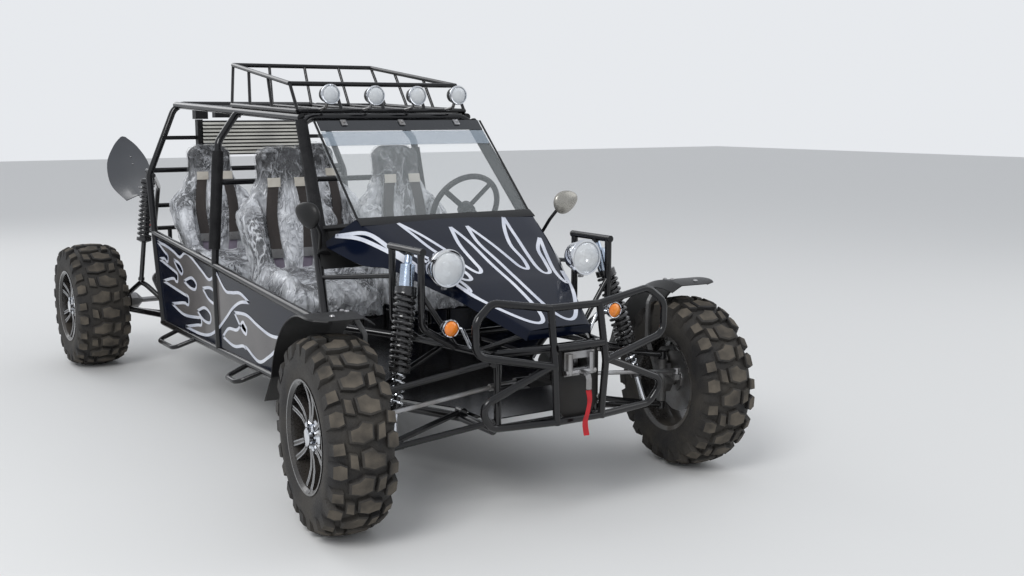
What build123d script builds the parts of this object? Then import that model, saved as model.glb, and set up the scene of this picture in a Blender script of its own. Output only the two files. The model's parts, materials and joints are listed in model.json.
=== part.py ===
from build123d import *
import os
from math import ceil, cos, pi, radians, sin, tan

# Four-seat dune buggy, millimetres. X runs across (+X is the vehicle's left), -Y is the
# front, Z is up from the ground. Places are given as (across, behind the front axle, up).

WHEELBASE = 3170
HALF_BASE = WHEELBASE / 2
FRONT_HALF_TRACK = 748
REAR_HALF_TRACK = 763
TYRE_RADIUS = 330
FRONT_TYRE_WIDTH = 224
REAR_TYRE_WIDTH = 274
OVERHANG = 395              # the front hook and the rear bumper reach this far past the axles
REAR_END_Y = WHEELBASE + OVERHANG
PARKED_STEER = -5.5         # front wheels as parked, degrees, turned to the vehicle's right
STEERING_RATIO = 270 / 28   # turn of the steering wheel for one of the knuckles
KINGPIN_X = 640

CAGE_R = 17                 # roll cage and main rails, tube radius
BRACE_R = 13                # frame braces, bumpers and arms
THIN_R = 9                  # light stays under the body sheet
RACK_R = 10                 # roof rack rails
SLAT_R = 7                  # roof rack posts and floor bars
SHEET = 4                   # body sheet
CAGE_SIDES = 8              # flats round a cage bar, which keep the facets few
TUBE_SIDES = 6              # the same on a lighter bar
THIN_SIDES = 5              # the same on a light stay
ROUND_SIDES = 12            # the same on a lamp, a disc or a hub
CHORD_TURN = 62             # the most that a bar turns from one chord of a bend to the next, degrees

BODY_X = 550                # side rails and lower edge of the cage
ROOF_X = 392                # roof rails and windscreen
FLOOR_Z = 300               # middle of the floor rails
HOOP_FRONT_Y = 1060
HOOP_REAR_Y = 2700
ROOF_FRONT_Z = 1353
ROOF_REAR_Z = 1412


def at(x, y, z):
    """A place given from the centreline, the front axle and the ground."""
    return Vector(x, y - HALF_BASE, z)


def flats(radius, sides):
    """A regular polygon whose flats stand off its centre by the radius."""
    return RegularPolygon(radius, sides, major_radius=False, rotation=180 / sides)


def bend_chords(before, corner, after, bend):
    """The places along a bend at a corner, from where it leaves one run to where it meets the next."""
    back, on = (before - corner).normalized(), (after - corner).normalized()
    turn = radians(180 - back.get_angle(on))
    start, end = corner + back * bend * tan(turn / 2), corner + on * bend * tan(turn / 2)
    centre = corner + (back + on).normalized() * (bend / cos(turn / 2))
    count = ceil(turn / radians(CHORD_TURN))
    chords = []
    for k in range(count + 1):
        part = turn * k / count
        arm = (start - centre) * sin(turn - part) + (end - centre) * sin(part)
        chords.append(centre + arm * (1 / sin(turn)))
    return chords


def tube(points, radius, bend=60, sides=TUBE_SIDES):
    """A bar through the points, bent at each corner, with flats all round."""
    points = [at(*p) for p in points]
    route = [points[0]]
    for before, corner, after in zip(points, points[1:], points[2:]):
        route += bend_chords(before, corner, after, bend)
    route.append(points[-1])
    start = Plane(route[0], z_dir=route[1] - route[0]) * flats(radius, sides)
    return sweep(start, path=Polyline(*route), transition=Transition.RIGHT)


def drum(start, end, radius, sides=TUBE_SIDES):
    """A straight bar from start to end, with flats all round."""
    return tube([start, end], radius, sides=sides)


def round_bar(start, end, radius):
    """A straight bar that is truly round, for what clamps on it."""
    start, end = at(*start), at(*end)
    return extrude(Plane(start, z_dir=end - start) * Circle(radius), amount=(end - start).length)


def turned(rings, sides):
    """A form through (plane, radius) rings in turn, with flats all round and a flat cap at each end."""
    corners = []
    for plane, radius in rings:
        reach = radius / cos(pi / sides)
        angles = [(2 * k + 1) * pi / sides for k in range(sides)]
        corners.append([plane.from_local_coords(Vector(reach * cos(a), reach * sin(a), 0)) for a in angles])
    outlines = [corners[0], corners[-1]]
    for ring, following in zip(corners, corners[1:]):
        outlines += [[ring[k - 1], ring[k], following[k], following[k - 1]] for k in range(sides)]
    return Solid(Shell([make_face(Polyline(*outline, close=True)).face() for outline in outlines]))


def stepped(start, end, profile, sides=ROUND_SIDES):
    """A lathed form along a line, from (share of the way, radius) pairs."""
    start, end = at(*start), at(*end)
    line = end - start
    return turned([(Plane(start + line * share, z_dir=line), radius) for share, radius in profile], sides)


def box(low, high):
    """An upright block between two corners."""
    low, high = at(*low), at(*high)
    size = high - low
    return Pos(*((low + high) * 0.5)) * Box(abs(size.X), abs(size.Y), abs(size.Z))


def side_plate(outline, x_low, x_high):
    """A plate from x_low to x_high whose outline is given as (y, z) pairs."""
    wire = Polyline(*[at(x_low, y, z) for y, z in outline], close=True)
    return extrude(make_face(wire), amount=x_high - x_low, dir=(1, 0, 0))


def front_plate(outline, y_low, y_high):
    """A plate from y_low to y_high whose outline is given as (x, z) pairs."""
    wire = Polyline(*[at(x, y_low, z) for x, z in outline], close=True)
    return extrude(make_face(wire), amount=y_high - y_low, dir=(0, 1, 0))


def sheet(rows, lift):
    """A folded sheet: rows of points on its upper face, and the same rows moved by lift."""
    upper = [[at(*p) for p in row] for row in rows]
    lower = [[p + Vector(*lift) for p in row] for row in upper]
    faces = []

    def triangle(a, b, c):
        faces.append(make_face(Polyline(a, b, c, close=True)).face())

    def strip(first, second):
        for k in range(len(first) - 1):
            triangle(first[k], second[k], second[k + 1])
            triangle(first[k], second[k + 1], first[k + 1])

    for skin in (upper, lower):
        for first, second in zip(skin, skin[1:]):
            strip(first, second)
    for index in (0, -1):
        strip(upper[index], lower[index])
        strip([row[index] for row in upper], [row[index] for row in lower])
    return Solid(Shell(faces))


def both(part):
    """The part and its mirror image on the other side."""
    return [part, mirror(part, Plane.YZ)]


def fused(parts):
    flat = []
    for part in parts:
        flat += part if isinstance(part, list) else [part]
    return Part() + flat


def other_side(point):
    return (-point[0], point[1], point[2])


def along(start, end, share):
    return tuple(a + (b - a) * share for a, b in zip(start, end))


def arch(side):
    """A tube path up the left side through the points, across, and down the right side."""
    return side + [other_side(p) for p in side[::-1]]


# Frame

SIDE_RAIL = [(BODY_X, 455, 592), (BODY_X, 2642, 755)]
FLOOR_RAIL = [(230, -150, FLOOR_Z), (230, 60, FLOOR_Z), (520, 760, FLOOR_Z), (BODY_X, 900, FLOOR_Z),
              (BODY_X, 2560, FLOOR_Z)]
FLOOR_CROSSINGS = ((60, 230), (900, BODY_X), (1700, BODY_X), (2545, BODY_X))     # y, half width
NOSE_RAIL_Z = 560
NOSE_RAIL = [(230, -150, NOSE_RAIL_Z), (300, 255, NOSE_RAIL_Z), (BODY_X - 6, 470, 600)]
BULKHEAD_X = 205
BULKHEAD_Y = -137
TOWER_X = 400
TOWER_YS = (40, 255)
TOWER_TOP_Z = 905
STEER_ARM = 100             # steering arm length, ahead of the kingpin
STEER_ARM_Z = 372
RACK_Z = STEER_ARM_Z + 66
RACK_BAR_R = 13
CRADLE_Z = 250
CRADLE_END_Y = 3380
TAIL_KNEE = (330, 3420, 700)


def frame_floor():
    """Floor rails, the rails along the cabin's top edge and their crossings."""
    bars = [both(tube(FLOOR_RAIL, CAGE_R, 40)), both(tube(SIDE_RAIL, CAGE_R))]
    bars += [tube([(-x, y, FLOOR_Z), (x, y, FLOOR_Z)], BRACE_R) for y, x in FLOOR_CROSSINGS]
    bars.append(both(tube([(520, 760, FLOOR_Z), (BODY_X, 480, 594)], BRACE_R)))
    return fused(bars)


def nose_rail_x(y):
    return 230 + (y + 150) * 70 / 405


def frame_front():
    """Front bulkhead, upper rails, the stays under the hood and the housing of the steering rack."""
    bars = [both(tube(NOSE_RAIL, BRACE_R, 80)),
            both(tube([(BULKHEAD_X, BULKHEAD_Y, FLOOR_Z), (BULKHEAD_X, BULKHEAD_Y, NOSE_RAIL_Z)], BRACE_R)),
            tube([(-BULKHEAD_X, BULKHEAD_Y, RACK_Z), (BULKHEAD_X, BULKHEAD_Y, RACK_Z)], BRACE_R),
            drum((-110, -STEER_ARM, RACK_Z), (110, -STEER_ARM, RACK_Z), RACK_BAR_R + 8),
            both(box((60, BULKHEAD_Y, RACK_Z - 10), (90, -STEER_ARM - 12, RACK_Z + 10))),
            tube([(-300, 255, NOSE_RAIL_Z), (300, 255, NOSE_RAIL_Z)], BRACE_R),
            tube(arch([(nose_rail_x(-60), -60, NOSE_RAIL_Z), (112, -205, 636)]), THIN_R, 20, THIN_SIDES)]
    for z in (FLOOR_Z, NOSE_RAIL_Z):
        bars.append(tube([(-230, BULKHEAD_Y, z), (230, BULKHEAD_Y, z)], BRACE_R))
    return fused(bars) - drum((-120, -STEER_ARM, RACK_Z), (120, -STEER_ARM, RACK_Z), RACK_BAR_R + 0.3)


def shock_towers():
    """The posts that carry the front springs, each pair under one top bar."""
    top = tube([(TOWER_X, TOWER_YS[0] - 15, TOWER_TOP_Z), (TOWER_X, TOWER_YS[1] + 15, TOWER_TOP_Z)], BRACE_R)
    bars = [top, box((TOWER_X - 14, 96, TOWER_TOP_Z - 30), (TOWER_X + 14, 144, TOWER_TOP_Z - 4)),
            tube([(TOWER_X, TOWER_YS[1], 800), (521, 609, 760)], THIN_R, sides=THIN_SIDES)]
    for y in TOWER_YS:
        x = nose_rail_x(y)
        bars.append(tube([(TOWER_X, y, TOWER_TOP_Z), (TOWER_X, y, 640), (x, y, NOSE_RAIL_Z)], BRACE_R, 40))
    y = TOWER_YS[0]
    bars.append(drum((TOWER_X, y, 760), (nose_rail_x(y), y, NOSE_RAIL_Z), THIN_R, THIN_SIDES))
    return both(fused(bars))


def frame_rear():
    """Engine cradle behind the cabin."""
    cradle = [(380, 2545, FLOOR_Z), (300, 2700, CRADLE_Z), (300, CRADLE_END_Y, CRADLE_Z)]
    bars = [both(tube(cradle, CAGE_R, 60)),
            both(tube([(BODY_X - 20, HOOP_REAR_Y, 1048), (360, 3200, 960), TAIL_KNEE], BRACE_R, 80)),
            both(tube([(300, CRADLE_END_Y - 10, CRADLE_Z), TAIL_KNEE], BRACE_R)),
            tube([(-345, 3300, 845), (345, 3300, 845)], BRACE_R)]
    bars += [tube([(-300, y, CRADLE_Z), (300, y, CRADLE_Z)], BRACE_R) for y in (2720, CRADLE_END_Y - 10)]
    return fused(bars)


POST_X = 200
POST_Y = REAR_END_Y - BRACE_R
POST_ZS = (420, 690)


def rear_bumper():
    """Two bowed bars and the posts between them; a flag or a hose holder clamps on the posts."""
    low, high = POST_ZS
    post = round_bar((POST_X, POST_Y, low + 10), (POST_X, POST_Y, high - 10), BRACE_R)
    return fused([both(post), tube(arch([TAIL_KNEE, (360, POST_Y, high)]), BRACE_R, 50),
                  tube(arch([(302, CRADLE_END_Y, 280), (320, POST_Y, low)]), BRACE_R, 50)])


STEPS = ((2020, 2300), (1160, 1330))        # from y, to y
STEP_OUT = 110
STEP_Z = 262


def side_steps():
    """Two foot loops under each side."""
    loops = []
    for start, end in STEPS:
        loops += both(tube([(BODY_X, start, FLOOR_Z), (BODY_X + STEP_OUT, start + 20, STEP_Z),
                            (BODY_X + STEP_OUT, end - 20, STEP_Z), (BODY_X, end, FLOOR_Z)], BRACE_R - 2, 40))
    return loops


# Cage

def cage_front():
    """Windscreen pillars and the front roof bow, one bent tube."""
    return tube(arch([(BODY_X + 6, 487, 600), (ROOF_X, HOOP_FRONT_Y, ROOF_FRONT_Z)]), CAGE_R, 70, CAGE_SIDES)


B_HOOP = [(BODY_X, 1700, FLOOR_Z), (BODY_X, 1719, 702), (500, 1764, 1241), (ROOF_X, 1794, 1378)]


def cage_mid():
    """The hoop behind the front seats, with the bar that carries their harness."""
    bar_z = 1060
    x = B_HOOP[1][0] + (B_HOOP[2][0] - B_HOOP[1][0]) * (bar_z - B_HOOP[1][2]) / (B_HOOP[2][2] - B_HOOP[1][2])
    bar = drum((-x, 1749, bar_z), (x, 1749, bar_z), BRACE_R)
    return fused([tube(arch(B_HOOP), CAGE_R, 60, CAGE_SIDES), bar])


def cage_rear():
    """Rear hoop, the bar behind the rear seats and the ears of the rear springs."""
    side = [(BODY_X, 2545, FLOOR_Z), (BODY_X, 2650, 760), (BODY_X, HOOP_REAR_Y, 1050),
            (ROOF_X + 8, HOOP_REAR_Y - 5, ROOF_REAR_Z)]
    bar = drum((-536, 2703, 1075), (536, 2703, 1075), BRACE_R)
    ears = both(box((522, 2700, 1058), (542, 2800, 1082)))
    return fused([tube(arch(side), CAGE_R, 70, CAGE_SIDES), bar, ears])


SCREEN_LOW = (ROOF_X, 564, 976)
SCREEN_TOP = (ROOF_X, 950, 1341)
ROOF_BARS = ((1420, 1366), (2250, 1395))        # y, z
SCREEN_TABS = (-262, 0, 262)


def roof_rails():
    """Rails over the doors, the bars between them and the tabs that hold the windscreen's top."""
    front, rear = (ROOF_X, HOOP_FRONT_Y, ROOF_FRONT_Z), (ROOF_X + 4, HOOP_REAR_Y - 5, ROOF_REAR_Z - 2)
    rails = both(drum(front, rear, CAGE_R, CAGE_SIDES))
    clip = [(935, 1326.8), (950, 1341), (HOOP_FRONT_Y, 1343), (HOOP_FRONT_Y, 1349), (947, 1347), (930, 1331)]
    tabs = [side_plate(clip, x - 12, x + 12) for x in SCREEN_TABS]
    bars = [drum((-ROOF_X, y, z), (ROOF_X, y, z), BRACE_R) for y, z in ROOF_BARS]
    return fused([rails] + tabs + bars)


# Roof rack: corners of its base and of its top rail, left side

RACK_FRONT_BASE = (394, 1090, 1380)
RACK_REAR_BASE = (394, 1860, 1407)
RACK_FRONT_TOP = (394, 1166, 1492)
RACK_REAR_TOP = (355, 1936, 1592)
SIDE_POSTS = (0, 0.36, 0.7, 1)
FRONT_POSTS = (0.25, 0.5, 0.75)


def roof_rack():
    """Open basket of rails and posts; lamps and straps clamp on its round front rail."""
    corners = (RACK_FRONT_BASE, RACK_REAR_BASE, RACK_REAR_TOP)
    bars = [tube([other_side(corner), corner], RACK_R, sides=THIN_SIDES) for corner in corners]
    bars.append(round_bar(other_side(RACK_FRONT_TOP), RACK_FRONT_TOP, RACK_R))
    bars += both(tube([RACK_FRONT_BASE, RACK_REAR_BASE], RACK_R, sides=THIN_SIDES))
    bars += both(tube([RACK_FRONT_TOP, RACK_REAR_TOP], RACK_R, sides=THIN_SIDES))
    for share in SIDE_POSTS:
        foot = along(RACK_FRONT_BASE, RACK_REAR_BASE, share)
        bars += both(tube([foot, along(RACK_FRONT_TOP, RACK_REAR_TOP, share)], SLAT_R, sides=THIN_SIDES))
    for share in FRONT_POSTS:
        foot = along(other_side(RACK_FRONT_BASE), RACK_FRONT_BASE, share)
        top = along(other_side(RACK_FRONT_TOP), RACK_FRONT_TOP, share)
        rear_foot = along(other_side(RACK_REAR_BASE), RACK_REAR_BASE, share)
        rear_top = along(other_side(RACK_REAR_TOP), RACK_REAR_TOP, share)
        for start, end in ((foot, top), (foot, rear_foot), (rear_foot, rear_top)):
            bars.append(drum(start, end, SLAT_R, THIN_SIDES))
    return fused(bars)


LAMPS = ((298, 980, 1447), (98, 977, 1443))
LAMP_BOWL = ((0, 45), (0.55, 45), (0.85, 32), (1, 20))
LAMP_DEPTH = 78


def rack_lamps():
    """Four round lamps on cranked brackets from the rack's front rail."""
    lamps = []
    base_y, base_z = RACK_FRONT_BASE[1:]
    for x, y, z in LAMPS:
        bowl = stepped((x, y, z), (x, y + LAMP_DEPTH, z), LAMP_BOWL, 10)
        stem = box((x - 12, y + 20, base_z), (x + 12, y + 44, z - 20))
        foot = box((x - 12, y + 20, base_z - 2), (x + 12, base_y, base_z + 6))
        lamps += both(fused([bowl, stem, foot]))
    return lamps


# Body sheet

def side_panels():
    outline = [(500, 596), (2648, 755), (2546, FLOOR_Z), (760, FLOOR_Z)]
    return both(side_plate(outline, BODY_X - SHEET / 2, BODY_X + SHEET / 2))


PAN_Z = FLOOR_Z + CAGE_R + SHEET


def floor_pan():
    rows = [[(-x, y, PAN_Z), (x, y, PAN_Z)] for y, x in ((-90, 210), (100, 210), (790, 516), (2520, 536))]
    return sheet(rows, (0, 0, -SHEET))


# One row of the hood from its rear edge to its nose, left side: the crown's corner and the skirt below it
HOOD_ROWS = (
    ((395, 564, 974), (492, 655, 878)),
    ((358, 430, 913), (425, 462, 818)),
    ((331, 330, 868), (372, 330, 812)),
    ((262, 150, 796), (290, 150, 752)),
    ((222, 41, 754), (240, 41, 716)),
    ((125, -217, 645), (136, -212, 612)))


def hood():
    """Folded hood: a flat crown, skirts that flare to the pillars, and the screen's ledge across its rear."""
    rows = [[other_side(skirt), other_side(crown), crown, skirt] for crown, skirt in HOOD_ROWS]
    ledge = [[other_side(p), p] for p in ((384, 520, 952), (388, 562, 972))]
    return fused([sheet(rows, (0, 0, -SHEET)), sheet(ledge, (0, -5, 6))])


WHEEL_CENTRE = (275, 884, 966)
WHEEL_TILT = 25
WHEEL_R = 155


def wheel_axis(distance):
    """A place on the steering column's line, so far ahead of the steering wheel's centre."""
    x, y, z = WHEEL_CENTRE
    return (x, y - distance * cos(radians(WHEEL_TILT)), z - distance * sin(radians(WHEEL_TILT)))


def dash():
    """Dash board under the screen, with the steering column through it."""
    board = sheet([[(-486, 722, 930), (486, 722, 930)], [(-515, 640, 790), (515, 640, 790)]], (0, -28, 0))
    column = drum(wheel_axis(230), wheel_axis(42), 24) - drum(wheel_axis(150), wheel_axis(30), 13)
    return fused([board, column, tube(arch([(486, 728, 930), (398, 575, 950)]), RACK_R, 30, THIN_SIDES)])


def windscreen():
    return sheet([[other_side(p), p] for p in (SCREEN_LOW, SCREEN_TOP)], (0, 4, -4))


# Nose

def front_bumper():
    upper = [(101, -305, 733), (322, -292, 768), (389, -300, 714), (389, -300, 600), (105, -338, 540)]
    low = [(105, -336, 548), (386, -312, 434), (328, -300, 353), (92, -331, 350)]
    crossings = ((101, -305, 733), (96, -334, 602), (92, -331, 350))
    bars = [drum((-x, y, z), (x, y, z), BRACE_R) for x, y, z in crossings]
    bars += both(tube(upper, BRACE_R, 45)) + both(tube(low, BRACE_R, 40))
    bars += both(tube([(101, -305, 735), (105, -338, 540), (92, -331, 340)], BRACE_R, 60))
    bars += both(tube([(96, -325, 600), (BULKHEAD_X, BULKHEAD_Y, NOSE_RAIL_Z)], BRACE_R))
    bars += both(tube([(92, -325, 352), (BULKHEAD_X, BULKHEAD_Y, FLOOR_Z)], BRACE_R))
    return fused(bars)


PLATE_X = 88
PLATE_YS = (-318, -308)


def winch():
    """Winch on its shelf: rope drum between a motor and a gearbox, behind the plate with the fairlead."""
    shelf_z = 466
    outline = [(-PLATE_X, 596), (PLATE_X, 596), (PLATE_X, 400), (50, 352), (-50, 352), (-PLATE_X, 400)]
    plate = front_plate(outline, *PLATE_YS)
    plate -= front_plate([(-46, 560), (46, 560), (46, 522), (-46, 522)], PLATE_YS[0] - 1, PLATE_YS[1] + 1)
    shelf = box((-82, PLATE_YS[1], shelf_z), (82, BULKHEAD_Y - 8, shelf_z + 12))
    foot = box((-82, BULKHEAD_Y - 22, RACK_Z - 6), (82, BULKHEAD_Y - 8, shelf_z + 12))
    spool = stepped((-82, -240, 530), (82, -240, 530), ((0, 26), (1, 26)), 12)
    ends = both(stepped((82, -240, 530), (40, -240, 530), ((0, 38), (0.3, 42), (1, 42)), 12))
    feet = both(box((44, -268, shelf_z + 10), (78, -212, 520)))
    return fused([plate, shelf, foot, spool] + ends + feet)


HOOK_Y = OVERHANG - 11


def winch_hook():
    """Fairlead frame on the plate, with the hook's shank and throat in front of it."""
    fairlead = box((-62, -330, 500), (62, PLATE_YS[0], 582)) - box((-40, -346, 524), (40, -300, 558))
    rollers = both(drum((44, -336, 505), (44, -336, 577), 9)) + [drum((-62, -336, 512), (62, -336, 512), 8)]
    return fused([fairlead] + rollers + [tube([(0, -322, 512), (0, -HOOK_Y, 510), (0, -HOOK_Y, 462)], 9, 15)])


def hook_strap():
    return box((-13, -OVERHANG, 300), (13, -OVERHANG + 5, 462))


HEADLIGHT = (295, 43, 841)
HEADLIGHT_BOWL = ((0, 74), (0.3, 74), (0.62, 62), (0.86, 42), (1, 22))
HEADLIGHT_DEPTH = 108
SIGNAL = (348, -64, 653)


def headlights():
    """Round headlights on stub brackets from the spring towers."""
    x, y, z = HEADLIGHT
    bowl = stepped((x, y, z), (x, y + HEADLIGHT_DEPTH, z), HEADLIGHT_BOWL)
    return both(fused([bowl, drum((x, y + 60, z - 40), (TOWER_X, TOWER_YS[0] + 6, z - 40), 8, THIN_SIDES)]))


def turn_signals():
    """Round indicators on stalks from the nose rails."""
    x, y, z = SIGNAL
    lens = stepped((x, y - 22, z), (x, y + 22, z), ((0, 30), (0.6, 32), (1, 18)), 10)
    return both(fused([lens, drum((x, y + 8, z), (nose_rail_x(y), y, NOSE_RAIL_Z), 7, THIN_SIDES)]))


def mirrors():
    """Oval mirrors on bent stalks from the pillars."""
    stalk = tube([(503, 655, 850), (520, 600, 930), (565, 572, 1000)], 6, 40, THIN_SIDES)
    face = Plane(at(583, 560, 1004), x_dir=(0.94, 0.1, 0.33), z_dir=(0, 1, 0))
    outline = [(66 * cos(radians(30 * k)), 46 * sin(radians(30 * k))) for k in range(12)]
    head = extrude(face * make_face(Polyline(*outline, close=True)), amount=26)
    return both(fused([stalk, head]))


# Seats: centre x, y of the headrest, z of its top

SEATS = {"seat_front_left": (287, 1600, 1238), "seat_front_right": (-287, 1600, 1238),
         "seat_rear_left": (290, 2560, 1225), "seat_rear_right": (-290, 2560, 1225)}
SEAT_SIDE = (           # forward of the headrest, below its top, round the middle of the seat
    (-20, 20), (0, 0), (60, 0), (85, 30), (90, 200), (150, 575), (600, 600), (646, 640), (620, 730),
    (240, 740), (130, 700), (20, 240))
BOLSTER_SIDE = (        # the same round the raised edges
    (10, 250), (100, 260), (165, 330), (215, 530), (560, 555), (640, 610), (630, 660), (240, 720), (130, 690))
SEAT_FRONT = (          # half width, below the top
    (60, 0), (104, 40), (116, 150), (150, 215), (225, 300), (222, 400), (190, 520), (200, 600), (225, 640),
    (225, 741))
BOLSTER_IN = 140        # inner face of the raised edges, from the middle
SEAT_HALF = 226


def seat(name):
    """A bucket seat: its side form and its front form cut from each other, on two runners."""
    x, y, top = SEATS[name]
    profile = [(y - forward, top - below) for forward, below in SEAT_SIDE]
    middle = side_plate(profile, x - SEAT_HALF, x + SEAT_HALF)
    edge = [(y - forward, top - below) for forward, below in BOLSTER_SIDE]
    edges = [side_plate(edge, x - SEAT_HALF, x - BOLSTER_IN), side_plate(edge, x + BOLSTER_IN, x + SEAT_HALF)]
    outline = [(x + across, top - below) for across, below in SEAT_FRONT]
    outline += [(x - across, top - below) for across, below in SEAT_FRONT[::-1]]
    front = front_plate(outline, y - 700, y + 60)
    lines = (x - 150, x + 150)
    runners = [box((line - 15, y - 560, PAN_Z), (line + 15, y - 280, top - 700)) for line in lines]
    return fused([fused([middle] + edges) & front] + runners)


# Power unit

RADIATOR_ZS = (1150, 1330)
SLATS = 6


def radiator():
    """Radiator with a slatted face, a tank at each end and tabs out to the rear hoop."""
    low, high = RADIATOR_ZS
    pitch = (high - low) / SLATS
    face = [(2690, low), (2690, high)]
    for k in range(SLATS, 0, -1):
        face += [(2662, low + k * pitch), (2645, low + (k - 0.75) * pitch), (2662, low + (k - 0.75) * pitch)]
    face.append((2662, low))
    tanks = both(box((272, 2652, low - 6), (300, 2694, high + 6)))
    tabs = both(box((296, 2676, 1232), (480, 2694, 1252)))
    return fused([side_plate(face, -280, 280)] + tanks + tabs)


def roof_fittings():
    """Expansion tank and relay box under the rear roof bow, each on a hanger."""
    tank = box((-306, 2660, 1338), (-240, 2715, 1384))
    relay = box((-200, 2664, 1345), (-60, 2712, 1382))
    hangers = [box((x - 8, 2690, 1370), (x + 8, 2698, 1400)) for x in (-262, -180, -80)]
    return [fused([tank, hangers[0]]), fused([relay] + hangers[1:])]


ENGINE_LOW_Z = CRADLE_Z + BRACE_R


def engine():
    """Engine and gearbox as plain masses: block, head, gearbox between the shafts, belt end and intake."""
    low = ENGINE_LOW_Z
    side = [(2790, low + 60), (2800, 620), (2860, 700), (3010, 700), (3050, 620), (3060, low)]
    block = side_plate(side, -200, 230)
    side = [(3040, low), (3040, 520), (3180, 500), (3300, 420), (3300, 300), (3240, low)]
    gearbox = side_plate(side, -170, 200)
    shaft_line = [(x, WHEELBASE, TYRE_RADIUS) for x in (-258, 258)]
    outputs = stepped(*shaft_line, ((0, 46), (0.2, 60), (0.8, 60), (1, 46)))
    belt_end = stepped((220, 2925, 420), (262, 2925, 420), ((0, 82), (1, 76)))
    cover = side_plate([(2850, 698), (2865, 740), (2995, 740), (3010, 698)], -180, 205)
    intake = tube([(0, 2870, 640), (0, 2740, 640), (-120, 2740, 760)], 34, 60)
    return fused([block, gearbox, outputs, belt_end, cover, intake])


CAN_Y = 3412
CAN_Z = 520
TAIL_PIPE_X = -100
TAIL_PIPE_YS = (3488, 3528)     # its collar and its open end
TAIL_PIPE_R = 24
TAIL_PIPE_BORE_R = 21


def exhaust():
    """Silencer across the tail, its header, its straps, and a round tail pipe that a hose slides over."""
    can = stepped((-230, CAN_Y, CAN_Z), (230, CAN_Y, CAN_Z), ((0, 50), (0.05, 66), (0.95, 66), (1, 50)))
    header = tube([(150, 3034, 640), (150, 3320, 640), (150, CAN_Y - 30, 550)], 22, 60)
    straps = both(box((222, CAN_Y - 14, CAN_Z - 10), (322, CAN_Y - 2, CAN_Z + 10)))
    collar_y, end_y = TAIL_PIPE_YS
    collar = drum((TAIL_PIPE_X, CAN_Y + 40, CAN_Z), (TAIL_PIPE_X, collar_y, CAN_Z), TAIL_PIPE_R + 7)
    pipe = round_bar((TAIL_PIPE_X, collar_y, CAN_Z), (TAIL_PIPE_X, end_y, CAN_Z), TAIL_PIPE_R)
    bore = round_bar((TAIL_PIPE_X, collar_y - 4, CAN_Z), (TAIL_PIPE_X, end_y + 1, CAN_Z), TAIL_PIPE_BORE_R)
    return fused([can, header, collar, pipe] + straps) - bore


def tail_lamps():
    return both(box((290, REAR_END_Y - 46, 700), (350, REAR_END_Y - 16, 766)))


# Rows across the left rear fender, from its front edge to its tip: inner edge, fold, outer edge
REAR_FENDER = (
    ((482, 2900, 915), (560, 2896, 936), (620, 2900, 910)),
    ((425, 3080, 990), (545, 3076, 1014), (650, 3080, 985)),
    ((400, 3240, 1096), (530, 3234, 1112), (625, 3240, 1094)),
    ((430, 3340, 1182), (515, 3338, 1192), (560, 3342, 1186)),
    ((478, 3390, 1234), (494, 3390, 1238), (505, 3390, 1235)))


def rear_fenders():
    """Leaf-shaped upswept fenders with a fold along the middle, each on two stays."""
    ends = (((462, 2900, 1013), (510, 2905, 920)), ((392, 3115, 974), (440, 3130, 1018)))
    stays = [drum(start, end, 8, THIN_SIDES) for start, end in ends]
    return both(fused([sheet(REAR_FENDER, (0, 0, -SHEET))] + stays))


# Suspension

LOWER_ARM = (235, (-130, 60), 322, (228, 256))      # pivot x, pivot ys, pivot z, z range of the outer joint
UPPER_ARM = (235, (-150, 190), 537, (426, 454))


def front_arms():
    arms = []
    for x, ys, z, (joint_low, joint_high) in (LOWER_ARM, UPPER_ARM):
        middle = (joint_low + joint_high) / 2
        legs = [drum((KINGPIN_X, 0, joint_low), (KINGPIN_X, 0, joint_high), 20)]
        for y in ys:
            legs.append(tube([(x, y, z), (KINGPIN_X - 6, 0, middle)], BRACE_R - 2))
        arms.append(legs)
    plate = box((500, -32, LOWER_ARM[3][0] + 12), (580, 28, LOWER_ARM[3][1] + 20))
    return both(fused(arms[0] + [plate])) + both(fused(arms[1]))


REAR_ARM_PIVOT = (430, 2600, FLOOR_Z)
HUB_X = 600
HUB_BORE_R = 42


def rear_arms():
    """Trailing arms with their hub carriers; the half shafts turn inside the carriers."""
    hub = (HUB_X, WHEELBASE, TYRE_RADIUS)
    legs = [tube([REAR_ARM_PIVOT, (HUB_X - 2, WHEELBASE - 50, 300)], CAGE_R),
            tube([REAR_ARM_PIVOT, (590, 2780, 490), (HUB_X - 2, WHEELBASE - 50, 362)], BRACE_R, 60),
            tube([(300, 2900, CRADLE_Z + 10), (580, 3095, 296)], BRACE_R),
            drum((405, 2600, FLOOR_Z), (455, 2600, FLOOR_Z), 22),
            box((415, 2550, 290), (445, 2600, 310)),
            drum((HUB_X - 24, WHEELBASE, TYRE_RADIUS), (HUB_X + 10, WHEELBASE, TYRE_RADIUS), 62, ROUND_SIDES)]
    bore = drum((HUB_X - 60, hub[1], hub[2]), (HUB_X + 30, hub[1], hub[2]), HUB_BORE_R, ROUND_SIDES)
    return both(fused(legs) - bore)


# Coil-over units, left side: lower eye, upper eye, where the coil starts and ends, and the
# radius of the damper below and above it
SHOCKS = (
    ((545, -15, 262), (405, 120, 880), 0.36, 0.8, 16, 24),
    ((594, 2780, 490), (532, 2774, 1070), 0.16, 0.82, 18, 22))
COIL_R = 38
COIL_GAP_R = 30
COIL_TURNS = 5
COIL_SIDES = 8


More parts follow.
